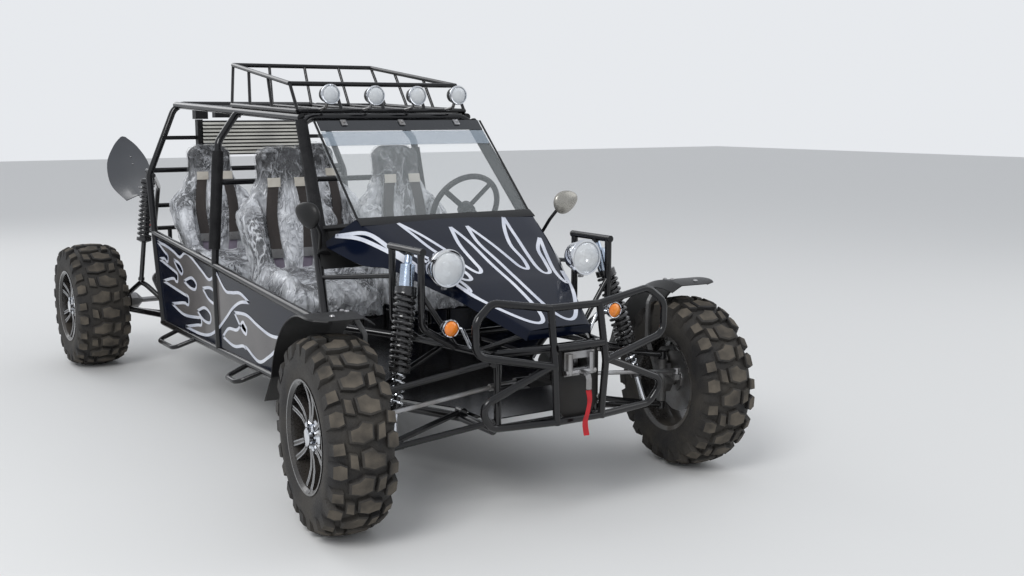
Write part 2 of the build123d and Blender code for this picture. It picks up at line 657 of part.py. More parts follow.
def shocks():
    """Dampers with coils whose turns stand out as rings, and an eye at each end."""
    units = []
    for low, high, start, end, low_r, high_r in SHOCKS:
        pitch = (end - start) / COIL_TURNS
        profile = [(0, low_r), (start - 0.02, low_r), (start, COIL_R)]
        for k in range(COIL_TURNS):
            profile += [(start + (k + 0.35) * pitch, COIL_R), (start + (k + 0.7) * pitch, COIL_GAP_R)]
        profile += [(end, COIL_R), (end + 0.02, high_r), (1, high_r)]
        eyes = [drum((x, y - 16, z), (x, y + 16, z), 16) for x, y, z in (low, high)]
        units += both(fused([stepped(low, high, profile, COIL_SIDES)] + eyes))
    return units


# Steering: the knuckles with their fenders, and the rack with its rods

FENDER_R = 400
FENDER_XS = (626, 668, 850)         # inner edge, fold, outer edge
FENDER_FOLD = 26                    # how far the inner edge hangs below the fold
FENDER_ANGLES = (-12, 0, 15, 30, 45, 60, 74)
FENDER_END = (474, 348)             # y and z of its rear end
STAY_Y = 62


def steered(part, side):
    """The part turned about its kingpin as the buggy is parked; side is 1 left, -1 right."""
    return part.rotate(Axis(at(side * KINGPIN_X, 0, 0), (0, 0, 1)), PARKED_STEER)


def fender():
    """The left front fender: a plate rolled about the wheel, folded down along its inner edge."""
    inner, fold, outer = FENDER_XS
    rows = []
    for angle in FENDER_ANGLES:
        y, z = sin(radians(angle)), cos(radians(angle))
        low = FENDER_R - FENDER_FOLD
        trim = 60 if angle == FENDER_ANGLES[0] else 0
        high_y, high_z = FENDER_R * y, TYRE_RADIUS + FENDER_R * z
        edge = (outer - trim, high_y, high_z)
        rows.append([(inner, low * y, TYRE_RADIUS + low * z), (fold, high_y, high_z), edge])
    y, z = FENDER_END
    rows.append([(inner + 20, y - FENDER_FOLD, z), (fold, y, z), (outer, y, z)])
    return sheet(rows, (0, 0, -SHEET))


def knuckle():
    """The left knuckle, wheels straight: upright, stub axle, steering arm, brake caliper and fender stay."""
    x = KINGPIN_X
    disc_x = FRONT_HALF_TRACK - 37
    caliper = side_plate([(136, 380), (110, 424), (72, 456), (42, 404), (80, 359)], disc_x - 25, disc_x + 29)
    caliper -= side_plate([(20, 330), (125, 340), (100, 414), (60, 446), (20, 400)], disc_x - 11, disc_x + 11)
    stay = [(x + 4, 54, 385), (x - 28, 66, 500), (x - 28, STAY_Y, 640), (x + 3, STAY_Y, 694)]
    return fused([round_bar((x, 0, LOWER_ARM[3][1] + 2), (x, 0, UPPER_ARM[3][0] - 2), 18),
                  drum((x, 0, TYRE_RADIUS), (FRONT_HALF_TRACK + 64, 0, TYRE_RADIUS), STUB_R),
                  drum((x, 0, TYRE_RADIUS), (x + 28, 0, TYRE_RADIUS), 34),
                  drum((x, 0, STEER_ARM_Z), (x, -STEER_ARM, STEER_ARM_Z), 9),
                  drum((x, -STEER_ARM, STEER_ARM_Z - 10), (x, -STEER_ARM, STEER_ARM_Z + 10), 15),
                  box((x, 12, 372), (FRONT_HALF_TRACK - 58, 62, 398)), caliper,
                  tube(stay, 8, 18, THIN_SIDES)])


ROD_END_Z = STEER_ARM_Z + 24


def tie_rods():
    """Steering rack with a rod to each knuckle, shifted as the wheels are parked."""
    y = -STEER_ARM
    rods = both(tube([(200, y, RACK_Z), (KINGPIN_X, y, ROD_END_Z)], 8, sides=THIN_SIDES))
    rods += both(drum((KINGPIN_X, y, ROD_END_Z - 12), (KINGPIN_X, y, ROD_END_Z + 12), 13))
    rods = fused(rods + [drum((-205, y, RACK_Z), (205, y, RACK_Z), RACK_BAR_R)])
    return rods.translate((STEER_ARM * sin(radians(PARKED_STEER)), 0, 0))


def steering_wheel():
    """Rim, three spokes and hub on a shaft into the column, turned as the wheels are parked."""
    tilt = radians(WHEEL_TILT)
    plane = Plane(at(*WHEEL_CENTRE), x_dir=(1, 0, 0), z_dir=(0, cos(tilt), sin(tilt)))
    ring = extrude(flats(WHEEL_R + 13, 16) - flats(WHEEL_R - 13, 16), amount=12, both=True)
    spokes = [Rot(0, 0, a) * Pos(WHEEL_R / 2 + 4, 0, -8) * Box(WHEEL_R - 8, 24, 6) for a in (0, 180, 270)]
    hub = extrude(flats(34, TUBE_SIDES), amount=-30) + extrude(Circle(11), amount=-120)
    return plane * (Rot(0, 0, PARKED_STEER * STEERING_RATIO) * fused([ring, hub] + spokes))


# Wheels, made at the origin with the outer face towards +X

BEAD_R = 180
LIP_R = 191
BARREL_R = 170
LIP_IN = 14                 # from the tyre's widest point in to the rim's lip
FACE_IN = 40                # from the lip in to the face of the spokes
STUB_R = 13
CENTRE_BORE_R = 16
LUG_PITCHES = 12            # the tread pattern's repeats round the tyre
WHEEL_SIDES = 2 * LUG_PITCHES
CARCASS_R = 312             # crown of the tyre under its lugs
LUG_FOOT_R = CARCASS_R - 10
CENTRE_LUG = ((-8, -21), (46, -30), (60, 8), (4, 22))     # across from the middle, round the tyre
SHOULDER_LUG_WIDTH = 38
SPOKES = 6
RIM_SIDES = 2 * SPOKES


def lathe(rings, sides=ROUND_SIDES):
    """A form about the X axis through (x, radius) rings, with flats all round."""
    planes = [Plane((x, 0, 0), x_dir=(0, 1, 0), z_dir=(1, 0, 0)) for x, radius in rings]
    return turned([(plane, radius) for plane, (x, radius) in zip(planes, rings)], sides)


def centre_lug(side):
    """A slanted tread block beside the crown's middle, at the top of the tyre."""
    outline = [(side * x, y, LUG_FOOT_R) for x, y in CENTRE_LUG]
    return extrude(make_face(Polyline(*outline, close=True)), amount=TYRE_RADIUS - LUG_FOOT_R, dir=(0, 0, 1))


def shoulder_lug(half, side):
    """A tread block that wraps from the crown down the shoulder, at the top of the tyre."""
    outline = [(half - 52, 303), (half - 49, 327), (half - 3, 300), (half, 272), (half - 16, 266)]
    wire = Polyline(*[(side * x, -SHOULDER_LUG_WIDTH / 2, z) for x, z in outline], close=True)
    return extrude(make_face(wire), amount=SHOULDER_LUG_WIDTH, dir=(0, 1, 0))


def tyre(width):
    """A carcass with lugs in staggered rows: from row to row, the pair of lugs changes sides."""
    half = width / 2
    wall = [(half - LIP_IN, BEAD_R), (half - 7, 262), (half - 46, CARCASS_R)]
    carcass = lathe([(-x, r) for x, r in wall] + wall[::-1], WHEEL_SIDES)
    carcass -= lathe([(-half, BEAD_R), (half, BEAD_R)], RIM_SIDES)
    lugs = []
    for row in range(WHEEL_SIDES):
        side = 1 if row % 2 else -1
        pair = [centre_lug(side), shoulder_lug(half, -side)]
        lugs += [Rot(row * 360 / WHEEL_SIDES, 0, 0) * lug for lug in pair]
    return carcass + lugs


def spoke(face):
    """One spoke, widening from the centre to the barrel, pointing up."""
    outline = [(-20, 40), (-33, BARREL_R + 2), (33, BARREL_R + 2), (20, 40)]
    plane = Plane((face, 0, 0), x_dir=(0, 1, 0), z_dir=(1, 0, 0))
    return extrude(plane * make_face(Polyline(*outline, close=True)), amount=20)


def rim(width):
    """Barrel with a lip at each end, split spokes and a centre with a cap over its bore."""
    half = width / 2 - LIP_IN
    face = half - FACE_IN
    seat = lathe([(-half, BEAD_R), (half + 7, BEAD_R)], RIM_SIDES)
    lip = lathe([(half + 2, LIP_R), (half + 7, LIP_R)], RIM_SIDES)
    bore = lathe([(-half - 1, BARREL_R), (half + 8, BARREL_R)], RIM_SIDES)
    centre = lathe([(face - 22, 62), (face + 8, 62), (face + 34, 30)], SPOKES)
    centre -= extrude(Plane((face - 23, 0, 0), z_dir=(1, 0, 0)) * Circle(CENTRE_BORE_R), amount=33)
    spokes = [Rot(k * 360 / SPOKES, 0, 0) * spoke(face) for k in range(SPOKES)]
    spoke_bore = lathe([(face - 1, 45), (face + 21, 45)], SPOKES)
    return fused([fused([seat, lip]) - bore, centre] + [arm - spoke_bore for arm in spokes])


def hub_face(width):
    return width / 2 - LIP_IN - FACE_IN - 22


def brake_disc():
    """Front disc and the hub that carries it, against the back of the wheel's centre."""
    hub = lathe([(-48, 38), (hub_face(FRONT_TYRE_WIDTH), 38)], 8) + lathe([(-40, 118), (-34, 118)], 16)
    return hub - lathe([(-49, CENTRE_BORE_R), (hub_face(FRONT_TYRE_WIDTH) + 1, CENTRE_BORE_R)], TUBE_SIDES)


def drive_shaft():
    """Left half shaft with its boots, from the wheel's centre in to the gearbox."""
    face = hub_face(REAR_TYRE_WIDTH) + REAR_HALF_TRACK
    return lathe([(264, 46), (300, 44), (330, 14), (490, 14), (520, 44), (556, 46), (562, 33), (face, 33)], 8)


def placed(part, side, rear):
    """A wheel part moved to its axle end; side is 1 left, -1 right."""
    part = on_side(part, side)
    if rear:
        return part.translate(at(side * REAR_HALF_TRACK, WHEELBASE, TYRE_RADIUS))
    return steered(part.translate(at(side * FRONT_HALF_TRACK, 0, TYRE_RADIUS)), side)


def on_side(part, side):
    return part if side > 0 else mirror(part, Plane.YZ)


# Nodes: how each is made, and the earlier nodes that it is cut to fit against

NODES = {
    "frame_floor": (frame_floor, ()),
    "cage_mid": (cage_mid, ("frame_floor",)),
    "cage_rear": (cage_rear, ("frame_floor",)),
    "cage_front": (cage_front, ("frame_floor",)),
    "roof_rails": (roof_rails, ("cage_front", "cage_mid", "cage_rear")),
    "frame_front": (frame_front, ("frame_floor", "cage_front")),
    "shock_towers": (shock_towers, ("frame_front", "frame_floor", "cage_front")),
    "frame_rear": (frame_rear, ("frame_floor", "cage_rear")),
    "rear_bumper": (rear_bumper, ("frame_rear",)),
    "side_steps": (side_steps, ("frame_floor",)),
    "roof_rack": (roof_rack, ("roof_rails", "cage_front")),
    "rack_lamps": (rack_lamps, ("roof_rack", "cage_front")),
    "side_panels": (side_panels, ("frame_floor", "cage_mid", "cage_rear")),
    "floor_pan": (floor_pan, ()),
    "hood": (hood, ("shock_towers", "frame_front")),
    "windscreen": (windscreen, ("hood",)),
    "dash": (dash, ("cage_front", "frame_front", "hood", "windscreen")),
    "front_bumper": (front_bumper, ("frame_front", "frame_floor")),
    "winch": (winch, ("frame_front", "front_bumper")),
    "winch_hook": (winch_hook, ("winch",)),
    "hook_strap": (hook_strap, ()),
    "headlights": (headlights, ("shock_towers",)),
    "turn_signals": (turn_signals, ("frame_front",)),
    "mirrors": (mirrors, ("cage_front", "dash")),
    "radiator": (radiator, ("cage_rear",)),
    "roof_fittings": (roof_fittings, ("cage_rear",)),
    "engine": (engine, ("frame_rear",)),
    "exhaust": (exhaust, ("engine", "frame_rear", "rear_bumper")),
    "tail_lamps": (tail_lamps, ("rear_bumper",)),
    "rear_fenders": (rear_fenders, ("frame_rear",)),
    "front_arms": (front_arms, ("frame_front", "frame_floor", "floor_pan")),
    "rear_arms": (rear_arms, ("frame_floor", "frame_rear")),
    "shocks": (shocks, ("front_arms", "rear_arms", "shock_towers", "frame_rear", "cage_rear")),
    "tie_rods": (tie_rods, ()),
    "steering_wheel": (steering_wheel, ())}
for seat_name in SEATS:
    NODES[seat_name] = (lambda name=seat_name: seat(name), ("cage_mid", "cage_rear"))
half_shaft = drive_shaft().translate(at(0, WHEELBASE, TYRE_RADIUS))
for side, word in ((1, "left"), (-1, "right")):
    NODES["fender_" + word] = (lambda side=side: steered(on_side(fender(), side), side), ())
    NODES["knuckle_" + word] = (lambda side=side: steered(on_side(knuckle(), side), side),
                                ("fender_" + word,))
    NODES["disc_" + word] = (lambda side=side: placed(brake_disc(), side, False), ())
    NODES["shaft_" + word] = (lambda side=side: on_side(half_shaft, side), ())
    for end, rear, width in (("front", False, FRONT_TYRE_WIDTH), ("rear", True, REAR_TYRE_WIDTH)):
        NODES[f"tyre_{end}_{word}"] = (lambda s=side, r=rear, w=width: placed(tyre(w), s, r), ())
        NODES[f"rim_{end}_{word}"] = (lambda s=side, r=rear, w=width: placed(rim(w), s, r), ())

os.makedirs("parts", exist_ok=True)
made = {}
for name, (make, fitted_to) in NODES.items():
    pieces = make()
    pieces = pieces if isinstance(pieces, list) else [pieces]
    for other in fitted_to:
        pieces = [piece - made[other] for piece in pieces]
    made[name] = Compound([solid for piece in pieces for solid in piece.solids()])
    export_step(made[name], f"parts/{name}.step")
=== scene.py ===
# %% [markdown]
# # A tube-frame dune buggy, dressed for the studio
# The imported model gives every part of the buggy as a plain, flat-faced solid in its right place.
# This lesson puts the looks over it: smooth bent tube, lugged tyres, spoked rims, painted sheet
# with flame striping, chrome lamps, and seats still in their clear wrap from the factory.
# Everything is in metres, and every new piece stands exactly where its solid stands.

# %% Load the model
import json
from math import ceil, cos, pi, radians, sin, tan
import bmesh
import bpy
from mathutils import Matrix, Vector, noise


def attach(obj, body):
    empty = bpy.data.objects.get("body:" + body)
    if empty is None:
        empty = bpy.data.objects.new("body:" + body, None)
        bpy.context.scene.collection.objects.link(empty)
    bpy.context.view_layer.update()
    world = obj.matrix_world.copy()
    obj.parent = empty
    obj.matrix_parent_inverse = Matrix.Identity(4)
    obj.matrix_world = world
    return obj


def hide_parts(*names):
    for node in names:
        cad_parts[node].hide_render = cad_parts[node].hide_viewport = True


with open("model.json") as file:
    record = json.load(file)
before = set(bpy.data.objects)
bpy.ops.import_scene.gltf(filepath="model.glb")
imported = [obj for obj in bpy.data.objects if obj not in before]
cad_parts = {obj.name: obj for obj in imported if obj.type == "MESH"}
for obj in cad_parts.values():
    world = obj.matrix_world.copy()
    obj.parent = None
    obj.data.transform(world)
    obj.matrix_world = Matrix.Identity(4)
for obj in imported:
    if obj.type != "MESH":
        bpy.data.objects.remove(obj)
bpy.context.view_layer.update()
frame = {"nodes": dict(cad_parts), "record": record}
nodes = frame["nodes"]
body_of = {node: body for body, members in frame["record"]["behaviour"]["bodies"].items() for node in members}

# %% [markdown]
# ## The camera
# The photograph was taken from the buggy's front right, at about a standing person's chin.
# The camera's place and lens were solved from the wheels and the frame's corners, so the same
# picture shape of 1024 by 576 shows each corner where the photograph has it.

# %% The photograph's camera
bpy.ops.object.select_all(action="DESELECT")
bpy.ops.object.camera_add(location=(-2.309, -5.070, 1.381), rotation=(radians(81.48), 0, radians(-32.87)))
camera = bpy.context.object
camera.data.lens = 41.6
camera.data.sensor_width = 36
bpy.context.scene.camera = camera
print("camera", camera.location[:], "lens", camera.data.lens)

# %% [markdown]
# ## The studio
# A pale floor catches a soft shadow, a wide lamp stands in for the low sun at the buggy's front
# right, and a fainter one fills the far side. The world lights everything evenly and shows pale
# grey to the camera and in the reflections, so black paint reads as gloss and not as a hole.

# %% Floor, lamps and world
bpy.context.scene.view_settings.view_transform = "Standard"
bpy.ops.mesh.primitive_plane_add(size=60, location=(0, 0, 0))
floor = bpy.context.object
floor.name = "studio_floor"
floor_finish = bpy.data.materials.new("studio_floor")
floor_finish.use_nodes = True
floor_shader = floor_finish.node_tree.nodes["Principled BSDF"]
floor_shader.inputs["Base Color"].default_value = (0.72, 0.72, 0.71, 1)
floor_shader.inputs["Roughness"].default_value = 0.7
floor.data.materials.append(floor_finish)

LAMPS = (       # name, place, size, power
    ("sun_side", (-5.5, -5.0, 6.5), 3.5, 360),
    ("fill_side", (6.5, -3.5, 4.5), 5.0, 85),
    ("back_light", (-2.0, 7.5, 5.5), 5.0, 130))
for name, spot, size, power in LAMPS:
    bpy.ops.object.light_add(type="AREA", location=spot)
    lamp = bpy.context.object
    lamp.name = name
    lamp.data.size = size
    lamp.data.energy = power
    lamp.rotation_euler = (Vector((0, 0, 0.6)) - Vector(spot)).to_track_quat("-Z", "Y").to_euler()

world = bpy.data.worlds.new("studio_world")
bpy.context.scene.world = world
world.use_nodes = True
sky = world.node_tree
sky.nodes.clear()
light_path = sky.nodes.new("ShaderNodeLightPath")
glow, shown = sky.nodes.new("ShaderNodeBackground"), sky.nodes.new("ShaderNodeBackground")
glow.inputs["Color"].default_value = (0.92, 0.95, 1.0, 1)
glow.inputs["Strength"].default_value = 0.72
shown.inputs["Color"].default_value = (0.80, 0.82, 0.85, 1)
seen, lit_or_seen = sky.nodes.new("ShaderNodeMath"), sky.nodes.new("ShaderNodeMixShader")
seen.operation = "MAXIMUM"
sky.links.new(light_path.outputs["Is Camera Ray"], seen.inputs[0])
sky.links.new(light_path.outputs["Is Transmission Ray"], seen.inputs[1])
sky.links.new(seen.outputs[0], lit_or_seen.inputs["Fac"])
sky.links.new(glow.outputs[0], lit_or_seen.inputs[1])
sky.links.new(shown.outputs[0], lit_or_seen.inputs[2])
sky_out = sky.nodes.new("ShaderNodeOutputWorld")
sky.links.new(lit_or_seen.outputs[0], sky_out.inputs["Surface"])

# %% [markdown]
# ## Finishes
# Nothing on a real vehicle is one flat colour. Paint has slight waves and carries dust near the
# ground, rubber greys where it scrubs, and plated steel has fine scratches. One helper builds all
# of them from noise on the object's own coordinates: a colour that drifts between two shades, a
# roughness that varies, a fine bump, and a film of dust that fades out with height.

# %% A helper for every finish
def finish(name, shade, drift, roughness, spread=0.1, metal=0.0, bump=0.1, grain=60, patch=3, dust=0.0, coat=0.0,
           alpha=1.0, clear=0.0, stretch=(1, 1, 1), shine=0.5):
    made = bpy.data.materials.new(name)
    made.use_nodes = True
    tree = made.node_tree
    shader = tree.nodes["Principled BSDF"]
    place_in = tree.nodes.new("ShaderNodeTexCoord")
    fit = tree.nodes.new("ShaderNodeMapping")
    fit.inputs["Scale"].default_value = stretch
    tree.links.new(place_in.outputs["Object"], fit.inputs["Vector"])
    coarse, fine = tree.nodes.new("ShaderNodeTexNoise"), tree.nodes.new("ShaderNodeTexNoise")
    coarse.inputs["Scale"].default_value = patch
    coarse.inputs["Detail"].default_value = 6
    fine.inputs["Scale"].default_value = grain
    fine.inputs["Detail"].default_value = 4
    tree.links.new(fit.outputs[0], coarse.inputs["Vector"])
    tree.links.new(fit.outputs[0], fine.inputs["Vector"])
    blend = tree.nodes.new("ShaderNodeMix")
    blend.data_type = "RGBA"
    blend.inputs["A"].default_value = (*shade, 1)
    blend.inputs["B"].default_value = (*drift, 1)
    steep = tree.nodes.new("ShaderNodeMapRange")
    steep.inputs["From Min"].default_value = 0.35
    steep.inputs["From Max"].default_value = 0.68
    tree.links.new(coarse.outputs["Fac"], steep.inputs["Value"])
    tree.links.new(steep.outputs[0], blend.inputs["Factor"])
    rough = tree.nodes.new("ShaderNodeMapRange")
    rough.inputs["From Min"].default_value = 0.3
    rough.inputs["From Max"].default_value = 0.7
    rough.inputs["To Min"].default_value = max(roughness - spread, 0.02)
    rough.inputs["To Max"].default_value = min(roughness + spread, 1.0)
    tree.links.new(fine.outputs["Fac"], rough.inputs["Value"])
    colour, dull = blend.outputs["Result"], rough.outputs[0]
    if dust:
        split = tree.nodes.new("ShaderNodeSeparateXYZ")
        tree.links.new(place_in.outputs["Object"], split.inputs[0])
        low = tree.nodes.new("ShaderNodeMapRange")
        low.inputs["From Min"].default_value = 0.75
        low.inputs["From Max"].default_value = 0.0
        low.inputs["To Max"].default_value = dust
        tree.links.new(split.outputs["Z"], low.inputs["Value"])
        film = tree.nodes.new("ShaderNodeMath")
        film.operation = "MULTIPLY"
        tree.links.new(low.outputs[0], film.inputs[0])
        tree.links.new(steep.outputs[0], film.inputs[1])
        dusty = tree.nodes.new("ShaderNodeMix")
        dusty.data_type = "RGBA"
        dusty.inputs["B"].default_value = (0.23, 0.19, 0.14, 1)
        tree.links.new(film.outputs[0], dusty.inputs["Factor"])
        tree.links.new(colour, dusty.inputs["A"])
        colour = dusty.outputs["Result"]
        duller = tree.nodes.new("ShaderNodeMath")
        duller.operation = "ADD"
        duller.use_clamp = True
        tree.links.new(dull, duller.inputs[0])
        tree.links.new(film.outputs[0], duller.inputs[1])
        dull = duller.outputs[0]
    tree.links.new(colour, shader.inputs["Base Color"])
    tree.links.new(dull, shader.inputs["Roughness"])
    relief = tree.nodes.new("ShaderNodeBump")
    relief.inputs["Strength"].default_value = bump
    relief.inputs["Distance"].default_value = 0.002
    tree.links.new(fine.outputs["Fac"], relief.inputs["Height"])
    tree.links.new(relief.outputs[0], shader.inputs["Normal"])
    shader.inputs["Metallic"].default_value = metal
    shader.inputs["Coat Weight"].default_value = coat
    shader.inputs["Coat Roughness"].default_value = 0.08
    shader.inputs["Specular IOR Level"].default_value = shine
    shader.inputs["Transmission Weight"].default_value = clear
    shader.inputs["Alpha"].default_value = alpha
    return made

# %% The finishes of this buggy
BLACK_BAR = finish("black_bar_paint", (0.003, 0.003, 0.004), (0.006, 0.006, 0.007), 0.15, 0.04, bump=0.03, grain=90, dust=0.04, coat=0.10, shine=0.45)
NIGHT_PAINT = finish("night_blue_paint", (0.002, 0.004, 0.012), (0.004, 0.007, 0.019), 0.14, 0.04, bump=0.02, grain=400, patch=1.2, dust=0.03, coat=0.06, shine=0.16)
RUBBER = finish("tyre_rubber", (0.013, 0.012, 0.012), (0.032, 0.029, 0.025), 0.74, 0.1, bump=0.5, grain=180, patch=9, dust=0.12)
RIM_BLACK = finish("rim_black", (0.008, 0.008, 0.009), (0.018, 0.018, 0.020), 0.2, 0.06, bump=0.05, grain=120, dust=0.35, coat=0.6)
MACHINED = finish("machined_face", (0.52, 0.53, 0.55), (0.36, 0.37, 0.39), 0.3, 0.1, metal=1, bump=0.1, grain=260, patch=14, dust=0.3)
CHROME = finish("chrome", (0.82, 0.83, 0.85), (0.62, 0.65, 0.70), 0.07, 0.04, metal=1, bump=0.02, grain=150, patch=8)
STEEL = finish("plain_steel", (0.42, 0.42, 0.43), (0.25, 0.24, 0.23), 0.38, 0.12, metal=1, bump=0.15, grain=140, patch=10, dust=0.2)
SPRING_BLACK = finish("spring_black", (0.009, 0.009, 0.010), (0.022, 0.022, 0.024), 0.24, 0.07, bump=0.08, grain=130, coat=0.5, dust=0.2)
CAST = finish("cast_alloy", (0.20, 0.20, 0.20), (0.10, 0.10, 0.10), 0.55, 0.12, metal=0.8, bump=0.5, grain=220, patch=12, dust=0.2)
PLASTIC = finish("moulded_plastic", (0.006, 0.006, 0.007), (0.012, 0.012, 0.012), 0.40, 0.1, bump=0.2, grain=320, patch=5, dust=0.08, shine=0.3)
FOAM = finish("foam_sleeve", (0.005, 0.005, 0.006), (0.012, 0.012, 0.013), 0.72, 0.12, bump=0.7, grain=150, patch=20, shine=0.25)
ALLOY = finish("brushed_alloy", (0.55, 0.55, 0.54), (0.40, 0.40, 0.40), 0.34, 0.1, metal=1, bump=0.1, grain=90, patch=6, stretch=(0.2, 1, 4))
VINYL = finish("seat_vinyl", (0.006, 0.006, 0.007), (0.013, 0.013, 0.014), 0.5, 0.1, bump=0.55, grain=420, patch=6, shine=0.3)
WEBBING = finish("harness_webbing", (0.022, 0.018, 0.017), (0.042, 0.034, 0.031), 0.75, 0.1, bump=0.8, grain=700, patch=14, stretch=(1, 0.25, 0.25))
CREAM = finish("strap_guide", (0.55, 0.52, 0.46), (0.42, 0.39, 0.34), 0.5, 0.1, bump=0.2, grain=120, patch=16)
RED_WEBBING = finish("red_strap", (0.55, 0.012, 0.020), (0.38, 0.008, 0.014), 0.72, 0.1, bump=0.8, grain=600, patch=25)
AMBER = finish("amber_lens", (0.95, 0.30, 0.02), (0.80, 0.20, 0.01), 0.15, 0.05, bump=0.3, grain=110, patch=20, coat=0.8)
RED_LENS = finish("red_lens", (0.55, 0.01, 0.01), (0.40, 0.005, 0.005), 0.18, 0.06, bump=0.3, grain=130, patch=20, coat=0.8)
STRIPE = finish("flame_stripe", (0.72, 0.74, 0.80), (0.50, 0.53, 0.62), 0.3, 0.08, bump=0.05, grain=200, patch=7, coat=0.5)
FLAME_GREY = finish("flame_grey", (0.110, 0.100, 0.098), (0.060, 0.054, 0.054), 0.34, 0.08, metal=0.1, bump=0.04, grain=300, patch=3.5, coat=0.5)
LAMP_GLASS = finish("lamp_glass", (0.92, 0.94, 0.95), (0.80, 0.84, 0.88), 0.05, 0.03, bump=0.35, grain=55, patch=8, clear=0.35)
SCREEN_GLASS = finish("screen_glass", (0.80, 0.85, 0.86), (0.74, 0.80, 0.82), 0.03, 0.02, bump=0.01, grain=30, patch=2, alpha=0.09)
BAND = finish("dark_band", (0.010, 0.012, 0.016), (0.020, 0.022, 0.026), 0.22, 0.06, bump=0.04, grain=120, patch=4, coat=0.4)
MIRROR_BACK = finish("mirror_back", (0.42, 0.40, 0.36), (0.30, 0.29, 0.26), 0.28, 0.08, metal=0.5, bump=0.08, grain=160, patch=9, coat=0.4)

LEAF_GLOSS = finish("leaf_gloss", (0.008, 0.010, 0.014), (0.014, 0.017, 0.024), 0.14, 0.04, bump=0.02, grain=300, patch=2, coat=0.8)
SHOCK_BLUE = finish("plated_blue", (0.60, 0.68, 0.80), (0.42, 0.50, 0.62), 0.22, 0.08, metal=1, bump=0.05, grain=140, patch=9, dust=0.15)
PALE_SCREEN_STRIP = finish("pale_screen_strip", (0.36, 0.42, 0.48), (0.30, 0.36, 0.42), 0.2, 0.05, bump=0.02, grain=80, patch=3, alpha=0.45)
DUSTY_TOP = finish("dusty_tread", (0.120, 0.104, 0.084), (0.052, 0.047, 0.041), 0.88, 0.08, bump=0.6, grain=160, patch=16, shine=0.2)
LOUVRE = finish("pale_louvre", (0.56, 0.55, 0.50), (0.42, 0.41, 0.38), 0.35, 0.1, metal=0.25, bump=0.05, grain=90, patch=6)
WRAP = finish("clear_wrap", (0.86, 0.88, 0.92), (0.60, 0.62, 0.66), 0.16, 0.08, bump=0.6, grain=60, patch=14, coat=0.4)


def film_alpha(material):
    """Creases as thin, nearly opaque white lines over patches that are clearer, and clearer still at the headrest; the
    white lines are painted highlights for the glints on crinkled film.
    """
    tree = material.node_tree
    shader = tree.nodes["Principled BSDF"]
    spot = tree.nodes.new("ShaderNodeTexCoord")
    fit = tree.nodes.new("ShaderNodeMapping")
    fit.inputs["Scale"].default_value = (1, 1, 0.45)
    tree.links.new(spot.outputs["Object"], fit.inputs["Vector"])

    def math(way, a, b):
        step = tree.nodes.new("ShaderNodeMath")
        step.operation = way
        step.use_clamp = way in ("MAXIMUM", "MULTIPLY")
        for socket, value in zip(step.inputs, (a, b)):
            if isinstance(value, float):
                socket.default_value = value
            else:
                tree.links.new(value, socket)
        return step.outputs[0]

    def noise_at(scale, detail, twist):
        cloud = tree.nodes.new("ShaderNodeTexNoise")
        cloud.inputs["Scale"].default_value = scale
        cloud.inputs["Detail"].default_value = detail
        cloud.inputs["Distortion"].default_value = twist
        tree.links.new(fit.outputs[0], cloud.inputs["Vector"])
        return cloud.outputs["Fac"]

    def ranged(value, low, high, to_low, to_high):
        step = tree.nodes.new("ShaderNodeMapRange")
        for word, number in (("From Min", low), ("From Max", high), ("To Min", to_low), ("To Max", to_high)):
            step.inputs[word].default_value = number
        tree.links.new(value, step.inputs["Value"])
        return step.outputs[0]

    ridges = [ranged(math("ABSOLUTE", math("SUBTRACT", noise_at(scale, 3, 0.8), 0.5), 0.0), 0.0, reach, 1.0, 0.0)
              for scale, reach in ((13, 0.045), (34, 0.06))]
    lines = math("MAXIMUM", ridges[0], math("MULTIPLY", ridges[1], 0.75))
    patches = ranged(noise_at(7, 4, 1.2), 0.42, 0.60, 0.18, 0.88)
    up = tree.nodes.new("ShaderNodeSeparateXYZ")
    tree.links.new(spot.outputs["Object"], up.inputs[0])
    below_head = ranged(up.outputs["Z"], 1.02, 1.10, 1.0, 0.12)
    # The crease lines make the pale film nearly opaque there: painted highlights along the creases. The patches are the
    # film's own haze.
    film_haze_and_painted_glints = math("MAXIMUM", math("MULTIPLY", patches, below_head), math("MULTIPLY", lines, ranged(up.outputs["Z"], 1.02, 1.12, 0.95, 0.35)))
    tree.links.new(film_haze_and_painted_glints, shader.inputs["Alpha"])
    relief = tree.nodes.new("ShaderNodeBump")
    relief.inputs["Strength"].default_value = 0.9
    relief.inputs["Distance"].default_value = 0.006
    tree.links.new(lines, relief.inputs["Height"])
    tree.links.new(relief.outputs[0], shader.inputs["Normal"])


film_alpha(WRAP)
PALE_WEBBING = finish("pale_webbing", (0.21, 0.18, 0.23), (0.14, 0.12, 0.16), 0.75, 0.1, bump=0.8, grain=700, patch=14)

# %% [markdown]
# ## Helpers for the hands
# Each piece below is made the way it would be at the keyboard: a primitive or a wire is added,
# shaped in edit mode, and given its finish. These helpers keep the bookkeeping in one place:
# picking an object, finishing a piece, and turning the part's own places into metres.

# %% Picking, placing and dressing
AXLE_OFFSET = 1585


def place(x, y, z):
    return Vector((x / 1000, (y - AXLE_OFFSET) / 1000, z / 1000))


def pick(*pieces):
    if bpy.context.object and bpy.context.object.mode != "OBJECT":
        bpy.ops.object.mode_set(mode="OBJECT")
    bpy.ops.object.select_all(action="DESELECT")
    for piece in pieces:
        piece.select_set(True)
    bpy.context.view_layer.objects.active = pieces[0]


def new_piece(name, points, edges=(), faces=()):
    mesh = bpy.data.meshes.new(name)
    mesh.from_pydata([tuple(p) for p in points], list(edges), list(faces))
    piece = bpy.data.objects.new(name, mesh)
    bpy.context.scene.collection.objects.link(piece)
    pick(piece)
    return piece


